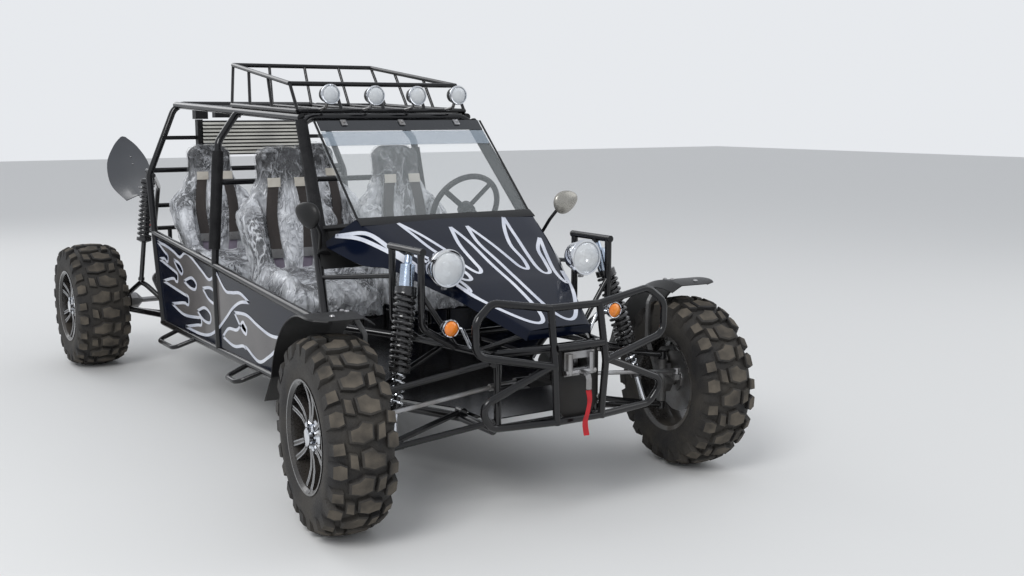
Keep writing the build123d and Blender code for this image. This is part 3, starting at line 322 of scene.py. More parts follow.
def joined(name, pieces):
    pick(*pieces)
    if len(pieces) > 1:
        bpy.ops.object.join()
    whole = bpy.context.object
    whole.name = name
    return whole


def wear(piece, *finishes):
    piece.data.materials.clear()
    for one in finishes:
        piece.data.materials.append(one)


def dress(piece, node, *finishes, stands_for=True):
    """The piece takes its finishes and its node's body, and stands for the node."""
    if finishes:
        wear(piece, *finishes)
    pick(piece)
    bpy.ops.object.transform_apply(location=True, rotation=True, scale=True)
    bpy.ops.object.shade_smooth_by_angle(angle=radians(35))
    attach(piece, body_of[node])
    if stands_for:
        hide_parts(node)
    return piece


def other_side(point):
    return (-point[0], point[1], point[2])


def arch(side):
    return list(side) + [other_side(p) for p in reversed(side)]


def both_ways(routes):
    return list(routes) + [[other_side(p) for p in route] for route in routes]

# %% [markdown]
# ## Bent tube
# Nearly all of a buggy is round steel tube, bent cold and welded. By hand a tube is a wire: its
# points are joined by edges, each corner gets a rounded bevel of the bender's radius, the wire
# becomes a curve, and the curve gets a round section. That keeps bends true circles and the tube
# evenly thick, which an extruded ring would not.

# %% A bar from a wire
def bar(route, radius, bend=60, rings=4):
    points = [place(*p) for p in route]
    wire = new_piece("bar", points, edges=[(k, k + 1) for k in range(len(points) - 1)])
    bpy.ops.object.mode_set(mode="EDIT")
    bpy.ops.mesh.select_mode(type="VERT")
    for before, corner, after in zip(points, points[1:], points[2:]):
        turn = pi - (before - corner).angle(after - corner)
        net = bmesh.from_edit_mesh(wire.data)
        bpy.ops.mesh.select_all(action="DESELECT")
        nearest = min(net.verts, key=lambda v: (v.co - corner).length)
        nearest.select_set(True)
        net.select_flush_mode()
        reach = min(bend / 1000 * tan(turn / 2), 0.49 * (before - corner).length, 0.49 * (after - corner).length)
        bpy.ops.mesh.bevel(affect="VERTICES", offset=reach, segments=max(2, ceil(turn / radians(14))), profile=0.5)
    bpy.ops.object.mode_set(mode="OBJECT")
    bpy.ops.object.convert(target="CURVE")
    wire = bpy.context.object
    wire.data.bevel_depth = radius / 1000
    wire.data.bevel_resolution = rings
    wire.data.use_fill_caps = True
    bpy.ops.object.convert(target="MESH")
    return bpy.context.object


def bars(node, groups, finish_used=BLACK_BAR, extra=()):
    made = [bar(route, radius, bend) for radius, bend, routes in groups for route in routes]
    piece = joined("bars_" + node, made + list(extra))
    return dress(piece, node, finish_used)

# %% [markdown]
# ## The frame and the cage
# The frame's routes are the same named places as in the part's source, so each smooth bar lies
# over its flat-sided solid. Each row of a group gives the bar's radius, the bend and the routes.

# %% Frame rails, nose, towers and cradle
CAGE, BRACE, THIN, RACK, SLAT = 17, 13, 9, 10, 7
NOSE_RAIL_Z, RACK_Z, TOWER_X = 560, 438, 400


def nose_rail_x(y):
    return 230 + (y + 150) * 70 / 405


bars("frame_floor", [
    (CAGE, 40, both_ways([[(230, -150, 300), (230, 60, 300), (520, 760, 300), (550, 900, 300), (550, 2560, 300)]])),
    (CAGE, 60, both_ways([[(550, 455, 592), (550, 2642, 755)]])),
    (BRACE, 60, [[(-x, y, 300), (x, y, 300)] for y, x in ((60, 230), (900, 550), (1700, 550), (2545, 550))]),
    (BRACE, 60, both_ways([[(520, 760, 300), (550, 480, 594)]]))])
bars("frame_front", [
    (BRACE, 80, both_ways([[(230, -150, NOSE_RAIL_Z), (300, 255, NOSE_RAIL_Z), (544, 470, 600)]])),
    (BRACE, 60, both_ways([[(205, -137, 300), (205, -137, NOSE_RAIL_Z)]])),
    (BRACE, 60, [[(-205, -137, RACK_Z), (205, -137, RACK_Z)], [(-230, -137, 300), (230, -137, 300)],
                 [(-230, -137, NOSE_RAIL_Z), (230, -137, NOSE_RAIL_Z)], [(-300, 255, NOSE_RAIL_Z), (300, 255, NOSE_RAIL_Z)]]),
    (21, 60, [[(-110, -100, RACK_Z), (110, -100, RACK_Z)]]),
    (BRACE, 20, both_ways([[(75, -137, RACK_Z), (75, -118, RACK_Z)]])),
    (THIN, 20, [arch([(nose_rail_x(-60), -60, NOSE_RAIL_Z), (112, -205, 636)])])])
bars("shock_towers", [
    (BRACE, 40, both_ways([[(TOWER_X, 25, 905), (TOWER_X, 270, 905)],
                           [(TOWER_X, 40, 905), (TOWER_X, 40, 640), (nose_rail_x(40), 40, NOSE_RAIL_Z)],
                           [(TOWER_X, 255, 905), (TOWER_X, 255, 640), (nose_rail_x(255), 255, NOSE_RAIL_Z)]])),
    (THIN, 40, both_ways([[(TOWER_X, 255, 800), (521, 609, 760)], [(TOWER_X, 40, 760), (nose_rail_x(40), 40, NOSE_RAIL_Z)]])),
    (14, 40, both_ways([[(TOWER_X, 120, 902), (TOWER_X, 120, 884)]]))])
KNEE = (330, 3420, 700)
bars("frame_rear", [
    (CAGE, 60, both_ways([[(380, 2545, 300), (300, 2700, 250), (300, 3380, 250)]])),
    (BRACE, 80, both_ways([[(530, 2700, 1048), (360, 3200, 960), KNEE], [(300, 3370, 250), KNEE]])),
    (BRACE, 60, [[(-345, 3300, 845), (345, 3300, 845)], [(-300, 2720, 250), (300, 2720, 250)], [(-300, 3370, 250), (300, 3370, 250)]])])
bars("rear_bumper", [
    (BRACE, 50, [arch([KNEE, (360, 3552, 690)]), arch([(302, 3380, 280), (320, 3552, 420)])]),
    (BRACE, 50, both_ways([[(200, 3552, 425), (200, 3552, 685)]]))])
bars("side_steps", [(11, 40, both_ways([[(550, a, 300), (660, a + 20, 262), (660, b - 20, 262), (550, b, 300)]
                                        for a, b in ((2020, 2300), (1160, 1330))]))])

# %% The cage
B_HOOP = [(550, 1700, 300), (550, 1719, 702), (500, 1764, 1241), (392, 1794, 1378)]
bars("cage_front", [(CAGE, 70, [arch([(556, 487, 600), (392, 1060, 1353)])])])
bars("cage_mid", [(CAGE, 60, [arch(B_HOOP)]), (BRACE, 60, [[(-517, 1749, 1060), (517, 1749, 1060)]])])
bars("cage_rear", [(CAGE, 70, [arch([(550, 2545, 300), (550, 2650, 760), (550, 2700, 1050), (400, 2695, 1412)])]),
                   (BRACE, 60, [[(-536, 2703, 1075), (536, 2703, 1075)]]),
                   (12, 60, both_ways([[(532, 2700, 1070), (532, 2796, 1070)]]))])
bars("roof_rails", [(CAGE, 60, both_ways([[(392, 1060, 1353), (396, 2695, 1410)]])),
                    (BRACE, 60, [[(-392, y, z), (392, y, z)] for y, z in ((1420, 1366), (2250, 1395))])])

# %% [markdown]
# ## Roof rack, bumper and suspension arms
# The rack is light tube with leaning sides, and the bumper is one family of loops around two
# uprights. The arms are plain legs that meet at a round joint beside each wheel.

# %% Rack, bumper and arms
BASE_FRONT, BASE_REAR, TOP_FRONT, TOP_REAR = (394, 1090, 1380), (394, 1860, 1407), (394, 1166, 1492), (355, 1936, 1592)


def between(start, end, share):
    return tuple(a + (b - a) * share for a, b in zip(start, end))


posts = both_ways([[between(BASE_FRONT, BASE_REAR, s), between(TOP_FRONT, TOP_REAR, s)] for s in (0, 0.36, 0.7, 1)])
for s in (0.25, 0.5, 0.75):
    foot, top = between(other_side(BASE_FRONT), BASE_FRONT, s), between(other_side(TOP_FRONT), TOP_FRONT, s)
    rear_foot, rear_top = between(other_side(BASE_REAR), BASE_REAR, s), between(other_side(TOP_REAR), TOP_REAR, s)
    posts += [[foot, top], [foot, rear_foot], [rear_foot, rear_top]]
bars("roof_rack", [(RACK, 30, [[other_side(c), c] for c in (BASE_FRONT, BASE_REAR, TOP_FRONT, TOP_REAR)]),
                   (RACK, 30, both_ways([[BASE_FRONT, BASE_REAR], [TOP_FRONT, TOP_REAR]])), (SLAT, 30, posts)])
bars("front_bumper", [
    (BRACE, 45, both_ways([[(101, -305, 733), (322, -292, 768), (389, -300, 714), (389, -300, 600), (105, -338, 540)]])),
    (BRACE, 40, both_ways([[(105, -336, 548), (386, -312, 434), (328, -300, 353), (92, -331, 350)]])),
    (BRACE, 60, both_ways([[(101, -305, 735), (105, -338, 540), (92, -331, 340)], [(96, -325, 600), (205, -137, NOSE_RAIL_Z)],
                           [(92, -325, 352), (205, -137, 300)]])),
    (BRACE, 60, [[(-x, y, z), (x, y, z)] for x, y, z in ((101, -305, 733), (96, -334, 602), (92, -331, 350))])])
bars("front_arms", [(11, 60, both_ways([[(235, y, z), (634, 0, m)] for ys, z, m in (((-130, 60), 322, 242), ((-150, 190), 537, 440))
                                        for y in ys])),
                    (18, 60, both_ways([[(640, 0, 228), (640, 0, 256)], [(640, 0, 426), (640, 0, 454)]])),
                    (15, 60, both_ways([[(505, -10, 258), (575, -6, 254)]])),
                    (16, 60, both_ways([[(235, y - 18, z), (235, y + 18, z)] for y, z in ((-130, 322), (60, 322), (-150, 537), (190, 537))]))])
bars("rear_arms", [(CAGE, 60, both_ways([[(430, 2600, 300), (598, 3120, 300)]])),
                   (BRACE, 60, both_ways([[(430, 2600, 300), (590, 2780, 490), (598, 3120, 362)], [(300, 2900, 260), (580, 3095, 296)]])),
                   (20, 60, both_ways([[(405, 2600, 300), (455, 2600, 300)]])),
                   (60, 60, both_ways([[(577, 3170, 330), (609, 3170, 330)]]))])
bars("tie_rods", [(8, 60, [[(x + dx, -100, 438), (x2 + dx, -100, 396)] for x, x2, dx in ((200, 640, -9.6), (-200, -640, -9.6))]),
                  (13, 60, [[(-214.6, -100, 438), (195.4, -100, 438)]]),
                  (13, 60, [[(x - 9.6, -100, 384), (x - 9.6, -100, 408)] for x in (-640, 640)])], STEEL)

# %% [markdown]
# ## Turned pieces
# Rims, lamps, dampers and hubs are all lathe work. A profile drawn beside an axis is spun round
# it, its seam is welded, and its normals are set to face outwards.

# %% A lathe
def turned(name, profile, steps=48):
    """A form about the Z axis from (height, radius) pairs, closed where the radius is nought."""
    points = [(radius, 0, height) for height, radius in profile]
    piece = new_piece(name, points, edges=[(k, k + 1) for k in range(len(points) - 1)])
    bpy.ops.object.mode_set(mode="EDIT")
    bpy.ops.mesh.select_all(action="SELECT")
    bpy.ops.mesh.spin(steps=steps, angle=2 * pi, center=(0, 0, 0), axis=(0, 0, 1))
    bpy.ops.mesh.select_all(action="SELECT")
    bpy.ops.mesh.remove_doubles(threshold=0.00002)
    bpy.ops.mesh.normals_make_consistent(inside=False)
    bpy.ops.object.mode_set(mode="OBJECT")
    return piece


def aim(piece, start, towards):
    """Moves a lathed form so that its foot is at start and its axis points towards a place."""
    turn = (towards - start).to_track_quat("Z", "Y").to_matrix().to_4x4()
    piece.data.transform(Matrix.Translation(start) @ turn)
    return piece


def mirrored(piece, name):
    copy = new_piece(name, [], [])
    copy.data = piece.data.copy()
    copy.data.transform(Matrix.Scale(-1, 4, (1, 0, 0)))
    copy.data.flip_normals()
    return copy

# %% [markdown]
# ## Tyres
# These are soft off-road tyres: a round carcass with tall rubber lugs. Real ones are moulded, and
# the quick way would be a bump, but the lugs make the outline, so they are real blocks here. One
# broad centre block, a smaller one beside it and a block on each shoulder make a row. Every other
# row is mirrored, and the whole is bent to the crown of the tyre. Use leaves dust on the tops.

# %% One tread block
TYRE_R, ROWS = 0.330, 24


def block(outline, foot, top, chamfer=0.004):
    """A tread block over an (across, round) outline in metres, standing from one radius to another."""
    lug = new_piece("lug", [(x, y, foot) for x, y in outline], faces=[list(range(len(outline)))])
    bpy.ops.object.mode_set(mode="EDIT")
    bpy.ops.mesh.select_all(action="SELECT")
    bpy.ops.mesh.extrude_region_move(TRANSFORM_OT_translate={"value": (0, 0, top - chamfer - foot)})
    bpy.ops.mesh.extrude_region_move(TRANSFORM_OT_translate={"value": (0, 0, chamfer)})
    middle = sum((Vector((x, y, 0)) for x, y in outline), Vector()) / len(outline)
    bpy.ops.transform.resize(value=(0.84, 0.84, 1), center_override=(middle.x, middle.y, top))
    bpy.ops.mesh.select_all(action="SELECT")
    bpy.ops.mesh.normals_make_consistent(inside=False)
    bpy.ops.object.mode_set(mode="OBJECT")
    wear(lug, RUBBER, DUSTY_TOP)
    for f in lug.data.polygons:
        f.material_index = 1 if f.center.z > top - chamfer / 4 else 0
    return lug


def crown(half, x):
    """How far the tread has dropped below the tyre's full radius at a place across it."""
    return 0.030 * (abs(x) / half) ** 3.2

# %% A whole tyre
def tyre(name, width):
    half = width / 2
    wall = [(-half + 0.014, 0.181), (-half + 0.008, 0.200), (-half + 0.002, 0.232), (-half + 0.003, 0.262), (-half + 0.012, 0.284),
            (-half + 0.030, 0.300), (-half + 0.055, 0.309), (0, 0.314)]
    outline = wall + [(-x, r) for x, r in wall[-2::-1]]
    carcass = turned("carcass", outline, 96)
    carcass.data.transform(Matrix.Rotation(pi / 2, 4, "Y"))
    wear(carcass, RUBBER, DUSTY_TOP)
    wide = half / 0.112
    lugs = []
    for row in range(ROWS):
        side = 1 if row % 2 else -1
        turn = row * 2 * pi / ROWS
        centre = [(-0.020 * wide, -0.026), (0.016 * wide, -0.039), (0.058 * wide, -0.030), (0.060 * wide, 0.008),
                  (0.030 * wide, 0.016), (0.012 * wide, 0.034), (-0.024 * wide, 0.024)]
        beside = [(0.030 * wide, -0.030), (0.060 * wide, -0.020), (0.062 * wide, 0.030), (0.036 * wide, 0.022)]
        long_one = [(half - 0.047, -0.024), (half - 0.026, -0.032), (half - 0.001, -0.028), (half - 0.001, 0.018),
                    (half - 0.024, 0.026), (half - 0.046, 0.016)]
        short_one = [(half - 0.042, -0.020), (half - 0.004, -0.024), (half - 0.004, 0.018), (half - 0.038, 0.022)]
        for outline, flip, phase in ((centre, side, 0), (beside, -side, 0.05), (long_one, -side, 0.4), (short_one, side, 0.55)):
            lug = block([(flip * x, y) for x, y in outline], 0.300, TYRE_R)
            for v in lug.data.vertices:
                v.co.z -= crown(half, v.co.x)
                if abs(v.co.x) > half - 0.012 and v.co.z < 0.300:
                    v.co.z = 0.262
            lug.data.transform(Matrix.Rotation(turn + phase * 2 * pi / ROWS, 4, "X"))
            lugs.append(lug)
    return joined(name, [carcass] + lugs)


def at_wheel(piece, side, rear):
    """Turns a wheel piece made at the origin with its face to +X on to its axle end, as parked."""
    if side < 0:
        piece.data.transform(Matrix.Scale(-1, 4, (1, 0, 0)))
        piece.data.flip_normals()
    track, y = (0.763, 1.585) if rear else (0.748, -1.585)
    piece.data.transform(Matrix.Translation((side * track, y, 0.330)))
    if not rear:
        pin = Matrix.Translation((side * 0.640, y, 0.330))
        piece.data.transform(pin @ Matrix.Rotation(radians(-5.5), 4, "Z") @ pin.inverted())
    return piece


WHEELS = (("front_left", 1, False, 0.224), ("front_right", -1, False, 0.224), ("rear_left", 1, True, 0.274),
          ("rear_right", -1, True, 0.274))
patterns = {width: tyre("tyre_pattern", width) for width in (0.224, 0.274)}
for word, side, rear, width in WHEELS:
    copy = new_piece("tyre_lugged_" + word, [])
    copy.data = patterns[width].data.copy()
    dress(at_wheel(copy, side, rear), "tyre_" + word)
for pattern in patterns.values():
    bpy.data.objects.remove(pattern)
print("four tyres with", ROWS, "rows of lugs")

# %% [markdown]
# ## Rims
# Cast rims in black with machined edges: a deep barrel, six pairs of spokes, and a plated centre
# with its nuts. The barrel is turned, one pair of spokes is shaped from cubes and copied round,
# and the faces that look outwards take the machined finish.

# %% A whole rim
def spoke_pair(face):
    ribs = []
    for lean in (-1, 1):
        rib = new_piece("rib", [(face, lean * 0.008 - 0.008, 0.045), (face, lean * 0.008 + 0.008, 0.045),
                                (face + 0.012, lean * 0.026 + 0.009, 0.176), (face + 0.012, lean * 0.026 - 0.009, 0.176)],
                        faces=[(0, 1, 2, 3)])
        bpy.ops.object.mode_set(mode="EDIT")
        bpy.ops.mesh.select_all(action="SELECT")
        bpy.ops.mesh.subdivide(number_cuts=3)
        bpy.ops.mesh.select_all(action="SELECT")
        bpy.ops.mesh.extrude_region_move(TRANSFORM_OT_translate={"value": (0.022, 0, 0)})
        bpy.ops.mesh.select_all(action="SELECT")
        bpy.ops.mesh.normals_make_consistent(inside=False)
        bpy.ops.object.mode_set(mode="OBJECT")
        for v in rib.data.vertices:
            v.co.x -= 0.010 * sin(pi * (v.co.z - 0.045) / 0.131)
        ribs.append(rib)
    return joined("spoke_pair", ribs)


def rim(width):
    half = width / 2 - 0.014
    face = half - 0.040
    barrel = turned("barrel", [(half + 0.002, 0.186), (half + 0.007, 0.191), (half + 0.007, 0.184), (half - 0.004, 0.174),
                               (half - 0.030, 0.171), (-half + 0.01, 0.168), (-half, 0.174), (-half - 0.004, 0.190), (-half - 0.001, 0.190),
                               (-half + 0.004, 0.180), (half - 0.004, 0.180), (half + 0.002, 0.186)], 72)
    centre = turned("centre", [(face - 0.022, 0.0165), (face - 0.022, 0.060), (face + 0.012, 0.064), (face + 0.018, 0.058),
                               (face + 0.012, 0.034), (face + 0.014, 0.031), (face + 0.036, 0.029), (face + 0.040, 0.022), (face + 0.041, 0.0)], 48)
    for turned_piece in (barrel, centre):
        turned_piece.data.transform(Matrix.Rotation(pi / 2, 4, "Y"))
    pair = spoke_pair(face)
    edge_faces = set()
    for f in pair.data.polygons:
        share = (f.center.z - 0.045) / 0.131
        middle = 0.008 + share * 0.018
        if abs(abs(f.center.y) - middle) > 0.0045:
            edge_faces.add(f.index)
    spokes = []
    for k in range(6):
        copy = new_piece("spokes", [])
        copy.data = pair.data.copy()
        copy.data.transform(Matrix.Rotation(k * pi / 3, 4, "X"))
        spokes.append(copy)
    bpy.data.objects.remove(pair)
    nuts = []
    for k in range(4):
        nut = turned("nut", [(face + 0.008, 0.012), (face + 0.026, 0.0105), (face + 0.030, 0.006), (face + 0.031, 0)], 6)
        nut.data.transform(Matrix.Rotation(k * pi / 2 + pi / 4, 4, "X") @ Matrix.Translation((0, 0, 0.046)) @ Matrix.Rotation(pi / 2, 4, "Y"))
        nuts.append(nut)
    for piece in [barrel, centre] + spokes + nuts:
        wear(piece, RIM_BLACK, MACHINED, CHROME)
    for piece in spokes:
        for f in piece.data.polygons:
            f.material_index = 1 if f.normal.x > 0.8 and f.index in edge_faces else 0
    for piece in [centre] + nuts:
        for f in piece.data.polygons:
            f.material_index = 2 if f.center.x > face + 0.011 else 0
    return joined("rim_pattern", [barrel, centre] + spokes + nuts)


rim_patterns = {width: rim(width) for width in (0.224, 0.274)}
for word, side, rear, width in WHEELS:
    copy = new_piece("rim_spoked_" + word, [])
    copy.data = rim_patterns[width].data.copy()
    dress(at_wheel(copy, side, rear), "rim_" + word)
for pattern in rim_patterns.values():
    bpy.data.objects.remove(pattern)

# %% [markdown]
# ## Body sheet
# The hood is one sheet with a flat crown and two skirts that flare out to the pillars. A sheet
# is built as a few rows of places, smoothed along its length, folded with a small round bend,
# and then given its thickness downwards, which is just how a press brake would leave it.

# %% Smooth rows and folded sheet
def smooth(points, steps=6):
    """Places along a curve through the points, with as many steps on each stretch."""
    points = [Vector(p) for p in points]
    last = len(points) - 1
    curve = []
    for k in range(last):
        a, b, c, d = points[max(k - 1, 0)], points[k], points[k + 1], points[min(k + 2, last)]
        for step in range(steps):
            t = step / steps
            curve.append((2 * b + (c - a) * t + (2 * a - 5 * b + 4 * c - d) * t ** 2 + (3 * b - a - 3 * c + d) * t ** 3) / 2)
    return curve + [points[-1]]


def folded(name, rows, thickness=0.003, bend=0.0, outward=(0, 0, 1)):
    """A sheet through rows of places, its folds rounded by bend and its thickness behind its outer side."""
    count = len(rows[0])
    faces = [(r * count + k, r * count + k + 1, (r + 1) * count + k + 1, (r + 1) * count + k)
             for r in range(len(rows) - 1) for k in range(count - 1)]
    piece = new_piece(name, [p for row in rows for p in row], faces=faces)
    if sum(f.normal.dot(Vector(outward)) for f in piece.data.polygons) < 0:
        piece.data.flip_normals()
    if bend:
        bpy.ops.object.modifier_add(type="BEVEL")
        rounding = piece.modifiers[-1]
        rounding.width = bend
        rounding.segments = 3
        rounding.limit_method = "ANGLE"
        rounding.angle_limit = radians(16)
        bpy.ops.object.modifier_apply(modifier=rounding.name)
    bpy.ops.object.modifier_add(type="SOLIDIFY")
    thick = piece.modifiers[-1]
    thick.thickness = thickness
    thick.offset = -1
    bpy.ops.object.modifier_apply(modifier=thick.name)
    bpy.ops.object.mode_set(mode="EDIT")
    bpy.ops.mesh.select_all(action="SELECT")
    bpy.ops.mesh.normals_make_consistent(inside=False)
    bpy.ops.object.mode_set(mode="OBJECT")
    return piece

# %% The hood
HOOD_ROWS = (((395, 564, 974), (492, 655, 878)), ((358, 430, 913), (425, 462, 818)), ((331, 330, 868), (372, 330, 812)),
             ((262, 150, 796), (290, 150, 752)), ((222, 41, 754), (240, 41, 716)), ((125, -217, 645), (136, -212, 612)))
HOOD_ARCH = 5
crown_line = smooth([crown_place for crown_place, skirt in HOOD_ROWS])
skirt_line = smooth([skirt for crown_place, skirt in HOOD_ROWS])


def hood_at(share, y):
    """A place on the hood: share is 0 on the centreline, 1 at the crown's edge and 2 at the skirt's."""
    k = max(i for i in range(len(crown_line) - 1) if crown_line[i].y >= y or i == 0)
    part = (crown_line[k].y - y) / (crown_line[k].y - crown_line[k + 1].y)
    edge = crown_line[k].lerp(crown_line[k + 1], part)
    hem = skirt_line[k].lerp(skirt_line[k + 1], part)
    away = abs(share)
    spot = Vector((away * edge.x, edge.y, edge.z + HOOD_ARCH * (1 - away ** 2))) if away <= 1 else edge.lerp(hem, away - 1)
    return place(spot.x if share >= 0 else -spot.x, spot.y, spot.z)


shares = [-2, -1.5] + [k / 6 for k in range(-6, 7)] + [1.5, 2]
hood_rows = [[hood_at(share, edge.y) for share in shares] for edge in crown_line]
hood_sheet = folded("hood_sheet", hood_rows, 0.004, 0.004)
cowl_rows = [[place(x, y, z) for x in (-391, 391)] for y, z in ((520, 956), (528, 962), (563, 982), (563, 966))]
cowl = folded("cowl", cowl_rows, 0.003, 0.002)
wear(hood_sheet, NIGHT_PAINT, PLASTIC)
wear(cowl, PLASTIC)
dress(joined("hood_sheet", [hood_sheet, cowl]), "hood")
nose_rows = [[place(x * s, -214 - d, z) for s in (-1, -0.6, 0, 0.6, 1)] for x, d, z in ((127, 3, 644), (129, 5, 636), (131, 3, 614))]
dress(folded("hood_lip", nose_rows, 0.003), "hood", NIGHT_PAINT, stands_for=False)

# %% [markdown]
# ## Flame striping
# The flames are a free layout of the usual kind: long licks with round throats between them. Each
# is one closed outline of a few places, where a tip is sharp and everything else is smooth. The
# outline becomes a pale stripe, and the space inside it a thin grey film, both laid on the sheet.

# %% From a few places to an outline
def outline_through(points, steps=7):
    """A closed run of flat places through (along, up) points; a third value marks a sharp tip."""
    count = len(points)
    loop = []
    for k in range(count):
        before, here, there, after = (points[(k + j) % count] for j in (-1, 0, 1, 2))
        a, b, c, d = (Vector(p[:2]) for p in (before, here, there, after))
        leave = (c - b) * 0.9 if len(here) > 2 else (c - a) / 2
        arrive = (c - b) * 0.9 if len(there) > 2 else (d - b) / 2
        for step in range(steps):
            t = step / steps
            flat = (b * (2 * t ** 3 - 3 * t ** 2 + 1) + leave * (t ** 3 - 2 * t ** 2 + t)
                    + c * (3 * t ** 2 - 2 * t ** 3) + arrive * (t ** 3 - t ** 2))
            loop.append((flat.x, flat.y, step == 0 and len(here) > 2))
    return loop


def throat(along, up, turn, size):
    """The round end of the space between two licks: a bulb with its mouth turned by an angle."""
    turn = radians(turn)
    bulb = ((3.4, 0.92), (1.5, 0.96), (0.3, 0.66), (0.3, -0.66), (1.5, -0.96), (3.4, -0.92))
    return [(along + size * (a * cos(turn) - b * sin(turn)), up + size * (a * sin(turn) + b * cos(turn))) for a, b in bulb]


def laid(surface, along, up, outward, lift):
    here = surface(along, up)
    normal = (surface(along + 0.02, up) - here).cross(surface(along, up + 4) - here).normalized()
    return here + normal * (lift if normal.dot(outward) > 0 else -lift), normal


def striped(name, surface, outward, loop, width=0.010, lift=0.0012):
    """A stripe of a constant width along a closed outline, cut square at the tips."""
    tips = [k for k, p in enumerate(loop) if p[2]] or [0]
    ribbons = []
    for start, end in zip(tips, tips[1:] + [tips[0] + len(loop)]):
        run = [laid(surface, *loop[k % len(loop)][:2], outward, lift) for k in range(start, end + 1)]
        points, faces = [], []
        for k, (spot, normal) in enumerate(run):
            along = (run[min(k + 1, len(run) - 1)][0] - run[max(k - 1, 0)][0]).normalized()
            across = along.cross(normal).normalized() * width / 2
            points += [spot + across, spot - across]
            if k:
                faces.append((2 * k - 2, 2 * k - 1, 2 * k + 1, 2 * k))
        ribbons.append(new_piece(name, points, faces=faces))
    return joined(name, ribbons)


def filled(name, surface, outward, loop, lift=0.0006):
    film = new_piece(name, [(along, up, 0) for along, up, tip in loop], faces=[list(range(len(loop)))])
    bpy.ops.object.mode_set(mode="EDIT")
    bpy.ops.mesh.select_all(action="SELECT")
    bpy.ops.mesh.quads_convert_to_tris(ngon_method="BEAUTY")
    bpy.ops.mesh.subdivide(number_cuts=2)
    bpy.ops.object.mode_set(mode="OBJECT")
    for v in film.data.vertices:
        v.co = laid(surface, v.co.x, v.co.y, outward, lift)[0]
    return film


def flame(name, node, surface, outward, loops, fill, holes=(), width=0.015):
    pieces = []
    for points in loops:
        loop = outline_through(points)
        film, stripe = filled(name, surface, outward, loop), striped(name, surface, outward, loop, width)
        wear(film, fill)
        wear(stripe, STRIPE)
        pieces += [film, stripe]
    for points in holes:
        loop = outline_through(points)
        film, stripe = filled(name, surface, outward, loop, 0.0012), striped(name, surface, outward, loop, width, 0.0018)
        wear(film, NIGHT_PAINT)
        wear(stripe, STRIPE)
        pieces += [film, stripe]
    dress(joined(name, pieces), node, stands_for=False)

# %% Flames along the sides and over the hood
SIDE_FLAME = ([(2600, 716, "tip")] + throat(2420, 640, 14, 20) + [(2575, 628, "tip")] + throat(2270, 560, 10, 24)
              + [(2520, 520, "tip")] + throat(2110, 470, 2, 24) + [(2390, 420, "tip"), (2200, 392)]
              + throat(1930, 398, -8, 20) + [(2180, 335, "tip"), (1960, 334), (1820, 352), (1700, 400), (1580, 470), (1500, 520)]
              + [(1400, 560), (1290, 575, "tip"), (1400, 600), (1500, 590), (1590, 590)]
              + [(1700, 655, "tip"), (1800, 612), (1900, 640)] + [(2060, 690), (2150, 700), (2230, 672), (2330, 690), (2450, 706)])
LOW_FLAME = ([(1640, 372, "tip"), (1560, 420), (1450, 432)] + throat(1330, 440, 20, 18) + [(1480, 505, "tip"), (1330, 515), (1200, 490)]
             + [(1060, 470), (930, 478, "tip"), (1000, 420), (1090, 372), (1200, 335)] + throat(1330, 380, 6, 16)[3:]
             + [(1500, 352)])
SIDE_HOLES = ([(2330, 650, "tip"), (2240, 640), (2190, 610), (2215, 590), (2280, 615)],
              [(2180, 560, "tip"), (2060, 590), (1990, 570), (2010, 540), (2090, 540)],
              [(1900, 560, "tip"), (1780, 575), (1710, 545), (1735, 510), (1820, 520)],
              [(1990, 440, "tip"), (1880, 470), (1800, 450), (1810, 410), (1900, 408)])
HOOD_FLAME = [(0.10, 470, "tip"), (0.20, 350), (0.27, 230), (0.32, 165), (0.42, 150), (0.46, 215), (0.44, 320), (0.52, 430),
              (0.62, 520, "tip"), (0.60, 400), (0.58, 270), (0.58, 160), (0.64, 112), (0.75, 118), (0.77, 190), (0.78, 280),
              (0.90, 365, "tip"), (0.86, 240), (0.84, 120), (0.88, 60), (0.96, 40), (0.97, 120, "tip"), (0.99, 0), (0.90, -90),
              (0.72, -160), (0.50, -186), (0.28, -170), (0.14, -110), (0.08, 20), (0.07, 200), (0.05, 350)]
WING_FLAME = [(1.62, 560, "tip"), (1.36, 500), (1.25, 430), (1.22, 340), (1.3, 260), (1.5, 210, "tip"), (1.12, 262), (1.06, 380), (1.12, 490)]
for side, word in ((1, "left"), (-1, "right")):
    panel = lambda along, up, side=side: place(side * 552, along, up)
    flame("flame_side_" + word, "side_panels", panel, Vector((side, 0, 0)), (SIDE_FLAME, LOW_FLAME), FLAME_GREY, SIDE_HOLES, 0.014)
    crown_side = lambda along, up, side=side: hood_at(side * along, up)
    flame("flame_hood_" + word, "hood", crown_side, Vector((0, 0, 1)), (HOOD_FLAME, WING_FLAME), NIGHT_PAINT)

# %% [markdown]
# ## Fenders
# The front fenders are rolled plate that turns with the wheels, with a fold along the inner edge.
# The rear ones are leaf-shaped and sweep up behind the springs. Both are bolted to thin stays.

# %% Rolled and swept fenders
FENDER_INNER, FENDER_FOLD_X, FENDER_OUTER, FENDER_R = 626, 668, 850, 400


